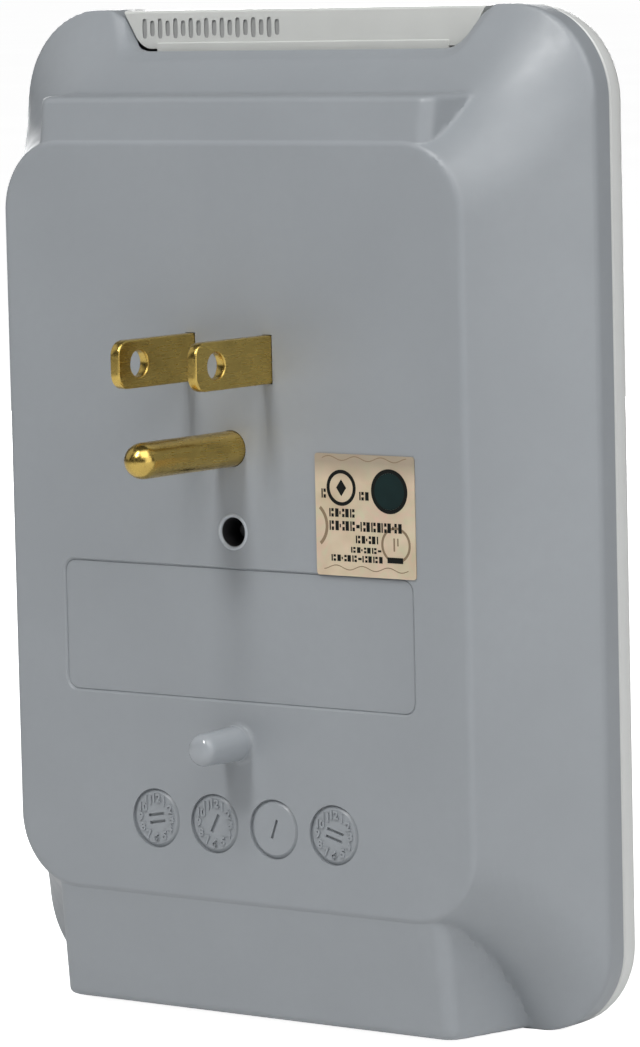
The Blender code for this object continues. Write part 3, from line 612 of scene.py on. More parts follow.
def surface_of(field, axes):
    """The zero surface of field(x, depth, z) on a grid, as a closed solid of four-sided faces."""
    value = field(*np.meshgrid(*axes, indexing="ij"))
    inside = value < 0
    corners = np.zeros([n - 1 for n in inside.shape], int)
    for shift in np.ndindex(2, 2, 2):
        corners += inside[tuple(slice(s, s + n) for s, n in zip(shift, corners.shape))]
    cells = np.argwhere((corners > 0) & (corners < 8))
    number = np.full(corners.shape, -1)
    number[tuple(cells.T)] = np.arange(len(cells))
    points = settle(field, crossings(value, axes, cells))
    faces = []
    for axis in range(3):
        here = np.moveaxis(inside, axis, 0)
        place = np.moveaxis(number, axis, 0)
        k, i, j = np.argwhere(here[:-1, 1:-1, 1:-1] != here[1:, 1:-1, 1:-1]).T
        round_edge = ((0, 0), (1, 0), (1, 1), (0, 1))
        quads = np.stack([place[k, i + a, j + b] for a, b in round_edge], axis=1)
        # moveaxis keeps the other two axes in order, so the middle axis turns the other way round
        leaves = here[k, i + 1, j + 1] ^ (axis == 1)
        quads[~leaves] = quads[~leaves][:, ::-1]
        faces.append(quads)
    faces = np.concatenate(faces)
    # depth runs against y, which turns every face over
    solid = [(x, -depth, z) for x, depth, z in points.tolist()]
    return solid, [tuple(face) for face in faces[:, ::-1].tolist()]


# Objects.


def make_mesh(name, solid):
    points, faces = solid
    mesh = bpy.data.meshes.new(name)
    mesh.from_pydata([(x * MM, y * MM, z * MM + AXIS_Z) for x, y, z in points], [], faces)
    return mesh


def add_object(name, data):
    obj = bpy.data.objects.new(name, data)
    bpy.context.scene.collection.objects.link(obj)
    return obj


def make_object(name, solid, *finishes):
    mesh = make_mesh(name, solid)
    for finish in finishes:
        mesh.materials.append(FINISHES[finish])
    return add_object(name, mesh)


def bake_modifiers(obj):
    """Makes the modifiers' result the object's own mesh."""
    graph = bpy.context.evaluated_depsgraph_get()
    mesh = bpy.data.meshes.new_from_object(obj.evaluated_get(graph), depsgraph=graph)
    obj.modifiers.clear()
    old = obj.data
    obj.data = mesh
    bpy.data.meshes.remove(old)


def change(obj, operation, solid, finish=None):
    """Joins a solid to an object, or cuts it out. Its faces take the given finish."""
    helper = make_object("helper", solid)
    helper.data.materials.append(FINISHES[finish] if finish else obj.data.materials[0])
    modifier = obj.modifiers.new("change", "BOOLEAN")
    modifier.operation = operation
    modifier.solver = "EXACT"
    modifier.material_mode = "TRANSFER"
    modifier.object = helper
    bake_modifiers(obj)
    bpy.data.objects.remove(helper)


def add_loose(obj, solid):
    """Adds a solid to an object's mesh as it is, with no Boolean."""
    mesh = make_mesh("loose", solid)
    both = bmesh.new()
    both.from_mesh(obj.data)
    both.from_mesh(mesh)
    both.to_mesh(obj.data)
    both.free()
    bpy.data.meshes.remove(mesh)


def round_edges(obj, width, segments, angle):
    modifier = obj.modifiers.new("edges", "BEVEL")
    modifier.width = width * MM
    modifier.segments = segments
    modifier.limit_method = "ANGLE"
    modifier.angle_limit = radians(angle)
    return modifier


def bevel(obj, width, segments):
    round_edges(obj, width, segments, 35.0).miter_outer = "MITER_ARC"
    bake_modifiers(obj)


def shade(obj, angle):
    """Smooth shading with sharp edges, led by the large faces."""
    obj.data.shade_smooth()
    obj.data.set_sharp_from_angle(angle=radians(angle))
    modifier = obj.modifiers.new("normals", "WEIGHTED_NORMAL")
    modifier.keep_sharp = True
    modifier.weight = 90


def finish_piece(obj, slot, *nodes, body="housing", angle=35.0):
    """Shades a piece, sets it on its CAD body and hides the CAD nodes that it stands for."""
    shade(obj, angle)
    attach(obj, body)
    if nodes:
        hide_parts(*nodes)


def make_piece(name, solid, finish, *nodes, slot=None, body="housing"):
    finish_piece(make_object(name, solid, finish), slot or finish, *nodes, body=body)


# Materials.

FINISHES = {}


class Nodes:
    """Adds shader nodes to a new finish, so that each finish reads as a short list."""

    def __init__(self, name):
        self.material = bpy.data.materials.new(name)
        self.material.use_nodes = True
        self.tree = self.material.node_tree
        self.shader = self.tree.nodes["Principled BSDF"]
        self.place = self.new("TexCoord").outputs["Object"]
        FINISHES[name] = self.material

    def fill(self, node, **inputs):
        """Sets a node's inputs to values, or leads other nodes' outputs into them."""
        for name, value in inputs.items():
            socket = node.inputs[name.replace("_", " ")]
            if isinstance(value, bpy.types.NodeSocket):
                self.tree.links.new(value, socket)
            else:
                socket.default_value = value

    def paint(self, **inputs):
        self.fill(self.shader, **inputs)

    def new(self, kind, **inputs):
        node = self.tree.nodes.new("ShaderNode" + kind)
        self.fill(node, **inputs)
        return node

    def noise(self, size, detail=3.0, roughness=0.5, distortion=0.0, stretch=(1.0, 1.0, 1.0)):
        """A noise whose features are about size millimetres wide, longer where the stretch is below 1."""
        scaled = self.new("VectorMath", Vector=self.place)
        scaled.operation = "MULTIPLY"
        scaled.inputs[1].default_value = stretch
        node = self.new("TexNoise", Vector=scaled.outputs["Vector"], Scale=1.0 / (size * MM))
        self.fill(node, Detail=detail, Roughness=roughness, Distortion=distortion)
        return node.outputs["Fac"]

    def range(self, value, low=0.0, high=1.0, start=0.3, end=0.7):
        """Maps start..end of a value to low..high."""
        node = self.new("MapRange", Value=value, From_Min=start, From_Max=end, To_Min=low, To_Max=high)
        return node.outputs["Result"]

    def mix(self, share, *colours):
        """Mixes two colours by a value."""
        node = self.new("Mix")
        node.data_type = "RGBA"
        first, second = ((*c, 1.0) if isinstance(c, tuple) else c for c in colours)
        self.fill(node, Factor=share, A=first, B=second)
        return node.outputs["Result"]

    def bump(self, height, depth):
        """Relief of about depth millimetres from a height between 0 and 1."""
        node = self.new("Bump", Distance=depth * MM, Strength=1.0, Height=height)
        before = self.shader.inputs["Normal"].links
        if before:
            self.fill(node, Normal=before[0].from_socket)
        self.paint(Normal=node.outputs["Normal"])


def shaded(colour, change):
    return tuple(min(max(c * change, 0.0), 1.0) for c in colour)


def plastic(name, colour, roughness=0.4, variation=0.03, grain=0.25, relief=0.006, specular=0.5):
    """Moulded plastic: an even colour with faint flow clouds, and a fine moulded grain."""
    n = Nodes(name)
    clouds = n.noise(22.0, detail=2.0)
    mottle = n.noise(1.6, detail=4.0)
    dark, light, deep = (shaded(colour, 1 + k * variation) for k in (-1, 1, -1.5))
    cloudy = n.mix(n.range(clouds), dark, light)
    n.paint(
        Base_Color=n.mix(n.range(mottle, 0.0, 0.35), cloudy, deep),
        Roughness=n.range(n.noise(3.0, detail=5.0), roughness - 0.05, roughness + 0.06),
        Specular_IOR_Level=specular,
    )
    n.bump(n.noise(grain, roughness=0.7), relief)
    n.bump(n.noise(9.0, detail=1.0), relief * 3)


def metal(name, colour, roughness=0.25, tarnish=0.85, grain=0.5, stretch=(1.0, 1.0, 1.0)):
    """Plain metal with light tarnish and fine rolling marks, drawn out along an axis by the stretch."""
    n = Nodes(name)
    clouds = n.noise(5.0)
    marks = n.noise(grain, detail=4.0, stretch=stretch)
    n.paint(
        Base_Color=n.mix(n.range(clouds), shaded(colour, tarnish), colour),
        Roughness=n.range(marks, roughness - 0.05, roughness + 0.08),
        Metallic=1.0,
    )
    n.bump(marks, 0.002)


def frosted(name, colour):
    """Frosted light guide: light spreads inside it, and its skin is finely etched."""
    n = Nodes(name)
    n.paint(
        Base_Color=n.mix(n.range(n.noise(6.0)), shaded(colour, 0.96), colour),
        Roughness=n.range(n.noise(0.8), 0.28, 0.4),
        Subsurface_Weight=0.35,
        Subsurface_Radius=(2.0 * MM, 2.0 * MM, 2.0 * MM),
        IOR=1.49,
    )
    n.bump(n.noise(0.2), 0.004)


def foil(name):
    """Holographic label stock: pale gold with soft pink and green bands, and a duller top edge."""
    n = Nodes(name)
    clouds = n.range(n.noise(4.0, detail=2.0))
    gold = n.mix(clouds, (0.56, 0.44, 0.29), (0.72, 0.61, 0.44))
    bands = n.range(n.noise(2.2, distortion=1.5))
    shimmer = n.mix(bands, (0.70, 0.46, 0.38), (0.55, 0.56, 0.38))
    base = n.mix(n.range(n.noise(7.0), 0.1, 0.7), gold, shimmer)
    height = n.new("SeparateXYZ", Vector=n.place).outputs["Z"]
    top = LABEL.z[1] * MM + AXIS_Z
    dull = n.range(height, 0.0, 0.75, top - 3.6 * MM, top - 1.0 * MM)
    n.paint(
        Base_Color=n.mix(dull, base, (0.31, 0.26, 0.20)),
        Roughness=n.range(n.noise(1.0), 0.3, 0.45),
        Metallic=0.2,
    )
    n.bump(n.noise(0.35), 0.005)


def make_finishes():
    plastic("grey_housing", GREY, 0.38)
    # The peg's grey: a real gloss, with a colour lighter than the housing that is painted light for the
    # light the peg catches.
    plastic("peg_grey_painted_light", shaded(GREY, 1.12), 0.1, relief=0.001)
    # A bright grey for the bead round the screw hole: a painted highlight.
    plastic("hole_ring_painted_highlight", shaded(GREY, 1.5), 0.3, relief=0.001)
    plastic("white_housing", WHITE, 0.34, variation=0.015)
    frosted("frosted_bar", FROST)
    foil("foil_label")
    metal("plug_brass", (0.66, 0.47, 0.13), 0.24, 0.8, 0.35, stretch=(1.0, 0.12, 1.0))
    metal("strip_brass", (0.70, 0.50, 0.24), 0.32)
    metal("steel", (0.60, 0.60, 0.58), 0.28)
    # Near-black steel for the screw's thread: painted shade, so the thread seen in the hole looks dark.
    metal("thread_steel_painted_shade", (0.10, 0.10, 0.105), 0.42)
    plastic("white_nylon", (0.78, 0.77, 0.70), 0.5)
    # Black plastic of the kept parts, also used as painted shade on the screw hole's bore.
    plastic("black_plastic", (0.025, 0.025, 0.027), 0.42, relief=0.01)
    plastic("shutter_grey", (0.14, 0.14, 0.15), 0.42)
    plastic("board_green", (0.015, 0.14, 0.06), 0.3, variation=0.12)
    plastic("varistor_blue", (0.03, 0.10, 0.40), 0.4, variation=0.08, grain=0.8, relief=0.03)
    metal("fuse_silver", (0.55, 0.52, 0.45), 0.35)
    plastic("resistor_tan", (0.50, 0.36, 0.20), 0.45, variation=0.06)
    plastic("led_green", (0.08, 0.48, 0.12), 0.12)
    plastic("wire_black", (0.02, 0.02, 0.02))
    plastic("wire_white", (0.72, 0.72, 0.70))
    plastic("wire_green", (0.02, 0.26, 0.06))
    plastic("wire_red", (0.42, 0.02, 0.02))
    plastic("ink", (0.006, 0.007, 0.006), 0.55, variation=0.1, specular=0.15)
    plastic("teal_ink", (0.004, 0.018, 0.018), 0.5, variation=0.3, specular=0.2)
    plastic("pale_ink", (0.24, 0.17, 0.10), 0.45, variation=0.1)
    # Darker grey of the bar's sunk marks: painted shade for the shade in engraved lettering.
    plastic("bar_mark", (0.36, 0.365, 0.36), 0.5, variation=0.1)


# Housings.


def notch_half(z, clear=0.0):
    return NOTCH_FLOOR_HALF - clear + NOTCH_SLANT * (z - NOTCH_FLOOR)


def notch_space():
    (start, end), high = NOTCH_CUT, RIM_TOP + 3.0
    return across([(NOTCH_FLOOR, start), (high, start), (high, end), (NOTCH_FLOOR, end)], notch_half)


def dial_x(k):
    return DIAL_MIDDLE_X + (k - 1.5) * DIAL_PITCH


def rear_grid():
    """Close grid lines where edges are rounded."""
    flat, rim, hump = FLAT_HALF_WIDTH, RIM_HALF_WIDTH, HUMP_HALF_WIDTH
    x_spots = [(-3.6, 3.6)]
    for start, end in ((flat - 1.5, flat + 1.0), (rim - 1.0, rim + 0.5), (hump - 5.0, hump + 3.5)):
        x_spots += [(start, end), (-end, -start)]
    z_spots = (
        (FLAT_TOP - 1.5, HUMP_TOP[0] + 1.0),
        (NOTCH_FLOOR - 2.5, RIM_TOP + 0.5),
        (FLAT_BOTTOM - 1.0, FLAT_BOTTOM + 1.5),
        (RIM_BOTTOM - 0.5, HUMP_BOTTOM[0] + 1.5),
        (PEG_Z - 3.6, PEG_Z + 3.6),
    )
    z_edges = (
        (HUMP_TOP[0] - 0.9, HUMP_TOP[0] + 0.4),
        (FLAT_TOP - 0.8, FLAT_TOP + 0.2),
        (FLAT_BOTTOM - 0.2, FLAT_BOTTOM + 0.8),
    )
    depth_spots = [(REAR.depth[0] - 0.5, -7.5), (-1.0, 3.4), (FLARE_DEPTH - 1.0, FLARE_DEPTH + 0.8)]
    return (
        graded(-rim - 1.0, rim + 1.0, FACE_STEPS, x_spots),
        graded(REAR.depth[0] - 0.7, SEAM_DEPTH + 1.5, DEPTH_STEPS, depth_spots, [(0.7, 2.2)]),
        graded(RIM_BOTTOM - 1.0, RIM_TOP + 1.0, FACE_STEPS, z_spots, z_edges),
    )


def rear_bosses():
    low = WALL - 0.4
    bosses = []
    for node, places in (("blade_holder", HOLDER_SCREWS), ("surge_board", BOARD_SCREWS)):
        high = span(node).depth[0] - GAP
        bosses += [boss(place, REAR_BOSS_RADIUS, low, high) for place in places]
    bosses.append(boss((0.0, 0.0), CENTRE_BOSS_RADIUS, low, FRONT.depth[0] - GAP))
    return combine(bosses)


def recess_outline(by):
    half, corner = RECESS_HALF_WIDTH + by, RECESS_CORNER + by
    return rounded_rectangle(half, RECESS_BOTTOM - by, RECESS_TOP + by, corner)


def rear_openings():
    """Everything that is cut out of the rear housing."""
    wide = RIM_HALF_WIDTH + 3.0
    cuts = [block((-wide, wide), (SEAM_DEPTH, SEAM_DEPTH + 4.0), (RIM_BOTTOM - 3.0, RIM_TOP + 3.0))]
    for node, places, low in (("blade_holder", HOLDER_SCREWS, 1.2), ("surge_board", BOARD_SCREWS, 2.0)):
        cuts += [boss(place, REAR_PILOT_RADIUS, low, span(node).depth[0]) for place in places]
    cuts.append(boss((0.0, PIN_Z), PIN_RADIUS + PLUG_CLEARANCE, -PAST, WALL + PAST, 48))
    mouth = [(SCREW_HOLE_MOUTH + 1.0, -0.3), (SCREW_HOLE_MOUTH, 0.0), (SCREW_HOLE_RADIUS, MOUTH_DEPTH)]
    cuts.append(turned(mouth + [(SCREW_HOLE_RADIUS - 0.02, MOUTH_DEPTH + 0.1)]))
    half_height = (BLADE.z[1] - BLADE.z[0]) / 2 + PLUG_CLEARANCE
    reach = BLADE_THICKNESS / 2 + PLUG_CLEARANCE
    for x in (-BLADE_X, BLADE_X):
        z = (BLADE_Z - half_height, BLADE_Z + half_height)
        cuts.append(block((x - reach, x + reach), (-PAST, WALL + PAST), z))
    cuts.append(stepped(recess_outline, RECESS_PROFILE))
    for k in range(4):
        cuts.append(boss((dial_x(k), DIAL_Z), DIAL_RADIUS, -PAST, DIAL_DEPTH, 64))
    return combine(cuts)


def make_rear_housing():
    housing = make_object("rear_shell", surface_of(rear_field, rear_grid()), "grey_housing", "peg_grey_painted_light")
    # The peg's faces take the glossy grey that is painted lighter as painted light.
    for face in housing.data.polygons:
        face.material_index = int(face.center.y > PEG_GLOSS_AND_PAINTED_LIGHT_START * MM)
    change(housing, "UNION", rear_bosses())
    change(housing, "DIFFERENCE", rear_openings())
    # A bead round the screw hole, in a lighter grey that is a painted highlight.
    ring = arc((HOLE_RING_RADIUS, HOLE_RING_DEPTH), HOLE_RING_WIRE, 0, 330, 11)
    change(housing, "UNION", turned(ring, closed=True), "hole_ring_painted_highlight")
    # The bore's wall takes the black finish as painted shade, so the hole reads dark.
    bore = [(SCREW_HOLE_RADIUS, d) for d in (MOUTH_DEPTH + 0.02, FRONT.depth[0])]
    change(housing, "DIFFERENCE", turned(bore), "black_plastic")
    finish_piece(housing, "grey_housing", "rear_housing", angle=32.0)


def front_ring(depth, inset):
    corner = max(RIM_CORNER - inset, 3.0)
    upper = max(RIM_TOP_CORNER - inset, 3.0)
    low, high = RIM_BOTTOM + inset, RIM_TOP - inset
    return at_depth(rounded_rectangle(RIM_HALF_WIDTH - inset, low, high, corner, 14, upper=upper), depth)


def front_tray():
    """The tray as one closed skin: over the outside, then back along the lip and the inside."""
    rise = FRONT_DEPTH - CROWN_START
    rings = []
    for k in range(CROWN_STEPS + 1):
        angle = pi / 2 * (1 - k / CROWN_STEPS)
        inset = CROWN_INSET * (1 - cos(angle) ** (2 / CROWN_POWER))
        rings.append(front_ring(CROWN_START + rise * sin(angle) ** (2 / CROWN_POWER), inset))
    seam = SEAM_DEPTH + GAP
    rings += [front_ring(seam + 0.2, 0.0), front_ring(seam, 0.2), front_ring(seam, LIP_INSET)]
    rings += [front_ring(LIP_DEPTH + 0.3, LIP_INSET), front_ring(LIP_DEPTH, LIP_INSET + 0.3)]
    inner = LIP_INSET + LIP_WALL
    deep, wide = INSIDE_ROUNDING
    start = FRONT_INSIDE - deep
    rings += [front_ring(LIP_DEPTH, inner), front_ring(start, inner)]
    for k in range(1, 6):
        angle = pi / 2 * k / 5
        rings.append(front_ring(start + deep * sin(angle), inner + wide * (1 - cos(angle))))
    return loft(rings)


def outlets():
    """Yields each outlet's outward side, column x and slot height."""
    for number in range(6):
        side = -1 if number % 2 == 0 else 1
        yield side, side * COLUMN_X, ROW_Z[number // 2] + SLOT_RISE


def grown(outline, centre, by):
    """An outline pushed outwards from its centre."""
    result = []
    for x, z in outline:
        away = Vector((x - centre[0], z - centre[1]))
        longer = away * (1 + by / away.length)
        result.append((centre[0] + longer.x, centre[1] + longer.y))
    return result


def mouthed(outline, centre):
    """A cutter for an opening through the front, with a chamfered mouth."""
    profile = [(FRONT_INSIDE - PAST, 0.0), (FRONT_DEPTH - MOUTH_FLARE, 0.0)]
    profile += [(FRONT_DEPTH, MOUTH_FLARE), (FRONT_DEPTH + PAST, MOUTH_FLARE + PAST)]
    return stepped(lambda by: grown(outline, centre, by) if by else outline, profile)


def outlet_openings(column, z):
    cuts = []
    for x, height in ((column + SLOT_X, LINE_SLOT), (column - SLOT_X, NEUTRAL_SLOT)):
        low, high = z - height / 2, z + height / 2
        outline = rounded_rectangle(SLOT_WIDTH / 2, low, high, SLOT_CORNER, 3, middle=x)
        cuts.append(mouthed(outline, (x, z)))
    ground = (column, z - SLOT_RISE - GROUND_DROP)
    cuts.append(mouthed(arc(ground, GROUND_RADIUS, 130, 410, 30), ground))
    return cuts


def outlet_groove(column, z):
    """A fine groove that frames one outlet."""
    middle = z - SLOT_RISE - FRAME_DROP

    def outline(inset):
        half = FRAME_HALF_HEIGHT - inset
        low, high, corner = middle - half, middle + half, FRAME_CORNER - inset
        return rounded_rectangle(FRAME_HALF_WIDTH - inset, low, high, corner, 12, middle=column)

    return stepped(outline, FRAME_GROOVE, closed=True)


def front_ribs():
    inner = FRONT_INSIDE + 0.4
    low = span("line_bus").depth[1] - 7.0
    ribs = [boss((0.0, 0.0), TUBE_RADIUS, FRONT.depth[0], inner, 48)]
    ribs += [boss(place, FRONT_BOSS_RADIUS, low, inner) for place in CARRIER_SCREWS]
    for side, column, z in outlets():
        for rail in (-1, 1):
            edges = sorted(z + rail * t for t in RAIL_OFFSETS)
            along = sorted(column + side * t for t in RAIL_REACH)
            ribs.append(block(along, (RAIL_START, inner), edges))
        along = sorted(column + side * t for t in STOP_REACH)
        ribs.append(block(along, (STOP_START, inner), (z - STOP_HALF_HEIGHT, z + STOP_HALF_HEIGHT)))
    return combine(ribs)


def make_front_housing():
    housing = make_object("front_shell", front_tray(), "white_housing")
    change(housing, "UNION", front_ribs())
    bore = [(TUBE_HOLE, FRONT.depth[0] - PAST), (TUBE_HOLE, TUBE_FLOOR_DEPTH)]
    bore += [(TUBE_BORE, TUBE_FLOOR_DEPTH), (TUBE_BORE, FRONT_DEPTH - 0.6)]
    bore.append((TUBE_BORE + 1.6, FRONT_DEPTH + PAST))
    cuts = [turned(bore, segments=64)]
    cuts += [boss(place, FRONT_PILOT_RADIUS, 15.0, 22.5) for place in CARRIER_SCREWS]
    for _, column, z in outlets():
        cuts += outlet_openings(column, z)
        cuts.append(outlet_groove(column, z))
    change(housing, "DIFFERENCE", combine(cuts))
    change(housing, "DIFFERENCE", notch_space())
    finish_piece(housing, "white_housing", "front_housing")


def bar_mark(x, half_height, depth):
    """A sunk stroke with rounded corners."""
    outline = []
    for c, s in circle(28):
        across_x = MARK_HALF_WIDTH * copysign(abs(c) ** MARK_POWER, c)
        along_z = half_height * copysign(abs(s) ** MARK_POWER, s)
        outline.append((x + across_x, MARK_Z + along_z))
    return plate(outline, depth)


def bar_outline(clear):
    """The bar's (x, z) outline: slanted ends, with the notch's rounded lower corners."""
    outline = []
    for k in range(9):
        angle = pi / 2 * k / 8
        z = NOTCH_FLOOR + clear + BAR_CORNER * (1 - cos(angle))
        outline.append((notch_half(z, clear) - BAR_CORNER * (1 - sin(angle)), z))
    outline.append((notch_half(RIM_TOP + 2.0, clear), RIM_TOP + 2.0))
    return outline + [(-x, z) for x, z in reversed(outline)]


def make_light_bar():
    """The translucent bar, with a row of plain sunk marks in place of its status word, darker grey as
    painted shade.
    """
    floor = NOTCH_FLOOR + GAP
    low, high = BAR.depth[0] + 0.2, CROWN_START
    top = BAR.z[1]
    profile = [(floor - 2.0, low), (top - BAR_EDGE, low), (top, low + BAR_EDGE), (top, high)]
    profile += [(top - 0.55, 23.6), (65.9, 25.5), (floor, BAR.depth[1]), (floor - 2.0, BAR.depth[1])]
    bar = make_object("light_guide", plate(bar_outline(GAP), (low - 1.0, 32.0)), "frosted_bar")
    change(bar, "INTERSECT", across(profile, lambda z: RIM_HALF_WIDTH))
    foot = block((-BAR_FOOT_HALF, BAR_FOOT_HALF), (BAR.depth[0], 24.0), (BAR.z[0], floor + 0.8))
    change(bar, "UNION", foot)
    bevel(bar, 0.2, 2)
    marks = []
    for k in range(MARK_COUNT):
        x = MARK_START - MARK_PITCH * k
        marks.append(bar_mark(x, MARK_HALF_HEIGHTS[k % 2], (low - 1.0, low + BAR_EDGE)))
    # The marks' faces take a darker grey as painted shade.
    change(bar, "DIFFERENCE", combine(marks), "bar_mark")
    finish_piece(bar, "frosted_bar", "light_bar")


# Label and dials.


def printed(outline):
    """A printed mark: a very thin plate on the label's face, from (right, down) points."""
    return plate([(LABEL.x[1] - right, LABEL.z[1] - down) for right, down in outline], PRINT_DEPTHS)


def printed_ring(right, down, radius, width):
    """A ring in two halves, so that each is a plain outline."""
    halves = []
    for start in (0, 180):
        outer = arc((right, down), radius, start, start + 180, 24)
        inner = arc((right, down), radius - width, start + 180, start, 24)
        halves.append(printed(outer + inner))
    return halves


def printed_bar(right, down, width, height):
    far, low = right + width, down + height
    return printed([(right, down), (far, down), (far, low), (right, low)])


def printed_row(right, down, length, height):
    """A row of small strokes and split blocks, in place of a line of words."""
    marks = []
    at = right
    k = 0
    while at < right + length - 0.25:
        width = min(0.2 + 0.17 * ((k * 7) % 3), right + length - at)
        parts = [(0.0, 1.0)]
        if k % 3 == 1:
            parts = [(0.0, 0.36), (0.62, 0.38)]
        elif k % 5 == 3:
            parts = [(0.32, 0.36)]
        marks += [printed_bar(at, down + start * height, width, size * height) for start, size in parts]
        at += width + 0.14 + 0.1 * ((k * 5) % 2)
        k += 1
    return marks


def wavy_line(down, phase):
    above, below = [], []
    for k in range(40):
        right = 1.2 + 13.5 * k / 39
        wave = down + 0.28 * sin(right * 1.5 + phase)
        above.append((right, wave))
        below.append((right, wave + 0.12))
    return printed(above + below[::-1])


def make_label():
    width = (LABEL.x[1] - LABEL.x[0]) / 2
    outline = rounded_rectangle(width, *LABEL.z, 0.4, 5, middle=sum(LABEL.x) / 2)
    make_piece("listing_foil", plate(outline, LABEL.depth), "foil_label", "listing_label")
    dark = printed_ring(*LEFT_RING)
    dark.append(printed(LABEL_DIAMOND))
    dark += printed_ring(*RIGHT_RING)
    for row in LABEL_ROWS:
        dark += printed_row(*row)
    dark.append(printed_bar(11.4, 13.1, 2.5, 0.75))
    make_piece("label_print", combine(dark), "ink", slot="foil_label")
    spot = printed(arc(RIGHT_RING[:2], LABEL_SPOT_RADIUS, 0, 350, 35))
    make_piece("label_spot", spot, "teal_ink", slot="foil_label")
    pale = printed_ring(*PALE_RING)
    pale += [printed_bar(12.4, 10.6, 0.25, 1.7), printed_bar(13.0, 10.6, 0.22, 1.0)]
    pale += [wavy_line(14.7, 0.0), wavy_line(0.5, 1.3)]
    bow, outer, inner = PALE_BOW
    pale.append(printed(arc(bow, outer, -50, 50, 20) + arc(bow, inner, 50, -50, 20)))
    make_piece("label_tint", moved(combine(pale), 0.0, TINT_SINK, 0.0), "pale_ink", slot="foil_label")


def digits(text):
    """Raised digits as a mesh, in the x-z plane, centred."""
    curve = bpy.data.curves.new("digits", "FONT")
    curve.body = text
    curve.size = DIGIT_SIZE * MM
    curve.extrude = DIGIT_RELIEF * MM
    curve.offset = DIGIT_BOLD * MM
    curve.align_x = "CENTER"
    curve.align_y = "CENTER"
    obj = add_object("digits", curve)
    graph = bpy.context.evaluated_depsgraph_get()
    graph.update()
    mesh = bpy.data.meshes.new_from_object(obj.evaluated_get(graph), depsgraph=graph)
    bpy.data.objects.remove(obj)
    points = [(-v.co.x / MM, v.co.z / MM, v.co.y / MM) for v in mesh.vertices]
    faces = [tuple(p.vertices) for p in mesh.polygons]
    bpy.data.meshes.remove(mesh)
    return points, faces


def pointer_slot(centre, angle, beside):
    """A bar-shaped cutter, turned about the dial's axis and set off sideways from it."""
    turn = radians(angle)
    a = Vector((-cos(turn), sin(turn)))
    b = Vector((a.y, -a.x))
    corners = []
    for i, j in ((-1, 0), (1, 0), (1, 1), (-1, 1)):
        corners.append(tuple(Vector(centre) + a * i * POINTER_REACH + b * beside[j]))
    return plate(corners, (-0.5, DIAL_FACE + POINTER_DEPTH))


def make_dial(number, angle, width, split):
    """A date dial: month numbers round a sunk pointer, in a pocket of the flat back."""
    x, z = dial_x(4 - number), DIAL_Z
    rim = DIAL_RADIUS - DIAL_CLEARANCE
    back = DIAL_DEPTH + 0.1
    profile = [(DIAL_CENTRE, back), (rim, back), (rim, DIAL_DEPTH - 0.03)]
    profile += [(rim - DIAL_SLOPE, DIAL_FACE), (DIAL_CENTRE, DIAL_FACE)]
    dial = make_object("date_dial_" + str(number), turned(profile, (x, z), 64), "grey_housing")
    slots = []
    for offset in (split / 2, -split / 2) if split else (0.0,):
        slots.append(pointer_slot((x, z), angle, (offset - width / 2, offset + width / 2)))
    change(dial, "DIFFERENCE", combine(slots))
    if number != PLAIN_DIAL:
        numbers = []
        for month in range(12):
            at = tau * month / 12
            away = (x - DIGIT_CIRCLE * sin(at), z + DIGIT_CIRCLE * cos(at))
            numbers.append(moved(digits(str(month or 12)), away[0], DIAL_FACE, away[1]))
        add_loose(dial, combine(numbers))
    finish_piece(dial, "grey_housing")


# Plug.


def make_blade(name, side):
    """A blade that passes through the back and bends outwards into a foot under the holder."""
    length = -BLADE.depth[0]
    foot_back, foot_front = BLADE.depth[1] - BLADE_THICKNESS, BLADE.depth[1]
    inner = BLADE_X - BLADE_THICKNESS / 2
    outer = BLADE_X + BLADE_THICKNESS / 2
    bend = arc((inner + BLADE_BEND, foot_front - BLADE_BEND), BLADE_BEND, 180, 90, 8)
    outline = bend[::-1] + [(inner, -length), (outer, -length)]
    outline += arc((outer + BLADE_FOOT_BEND, foot_back - BLADE_FOOT_BEND), BLADE_FOOT_BEND, 180, 90, 4)
    outline += [(BLADE.x[1], foot_back), (BLADE.x[1], foot_front)]
    outline = [(side * x, depth) for x, depth in outline]
    blade = make_object(name + "_formed", upright(outline, BLADE.z), "plug_brass")
    reach = (side * BLADE_X - 2.0, side * BLADE_X + 2.0)
    radius = BLADE_HOLE_RADIUS
    cuts = [sideways([(BLADE_HOLE_Y + radius * c, BLADE_Z + radius * s) for c, s in circle(40)], reach)]
    start, end = length - BLADE_TIP_CORNER, length + PAST
    for rise in (-1, 1):
        tip = BLADE_Z + rise * (BLADE.z[1] - BLADE.z[0]) / 2
        inside = tip - rise * BLADE_TIP_CORNER
        outside = [(y, inside + rise * h) for y, h in arc((start, 0.0), BLADE_TIP_CORNER, 0, 90, 10)]
        outside += [(start, tip + rise), (end, tip + rise), (end, inside)]
        cuts.append(sideways(outside, reach))
    change(blade, "DIFFERENCE", combine(cuts))
    bevel(blade, BLADE_EDGE, 3)
    finish_piece(blade, "plug_brass", name)


def make_ground_pin():
    tip = PIN_TIP + PIN.depth[0]
    foot = PIN.depth[1]
    profile = [(PIN_RADIUS * cos(a), tip - PIN_TIP * sin(a)) for a in np.linspace(1.5, 0.0, 12)]
    (low, high), edge = PIN_FLANGE_DEPTH, 0.2
    profile += [(PIN_RADIUS, low), (PIN_FLANGE - edge, low), (PIN_FLANGE, low + edge)]
    profile += [(PIN_FLANGE, high - edge), (PIN_FLANGE - edge, high), (PIN_TAIL, high)]
    profile += [(PIN_TAIL, foot - 2 * edge), (PIN_TAIL - 2 * edge, foot)]
    pin = turned(profile, (0.0, PIN_Z), 64)
    make_piece("ground_pin_turned", pin, "plug_brass", "ground_pin")


# Screws.


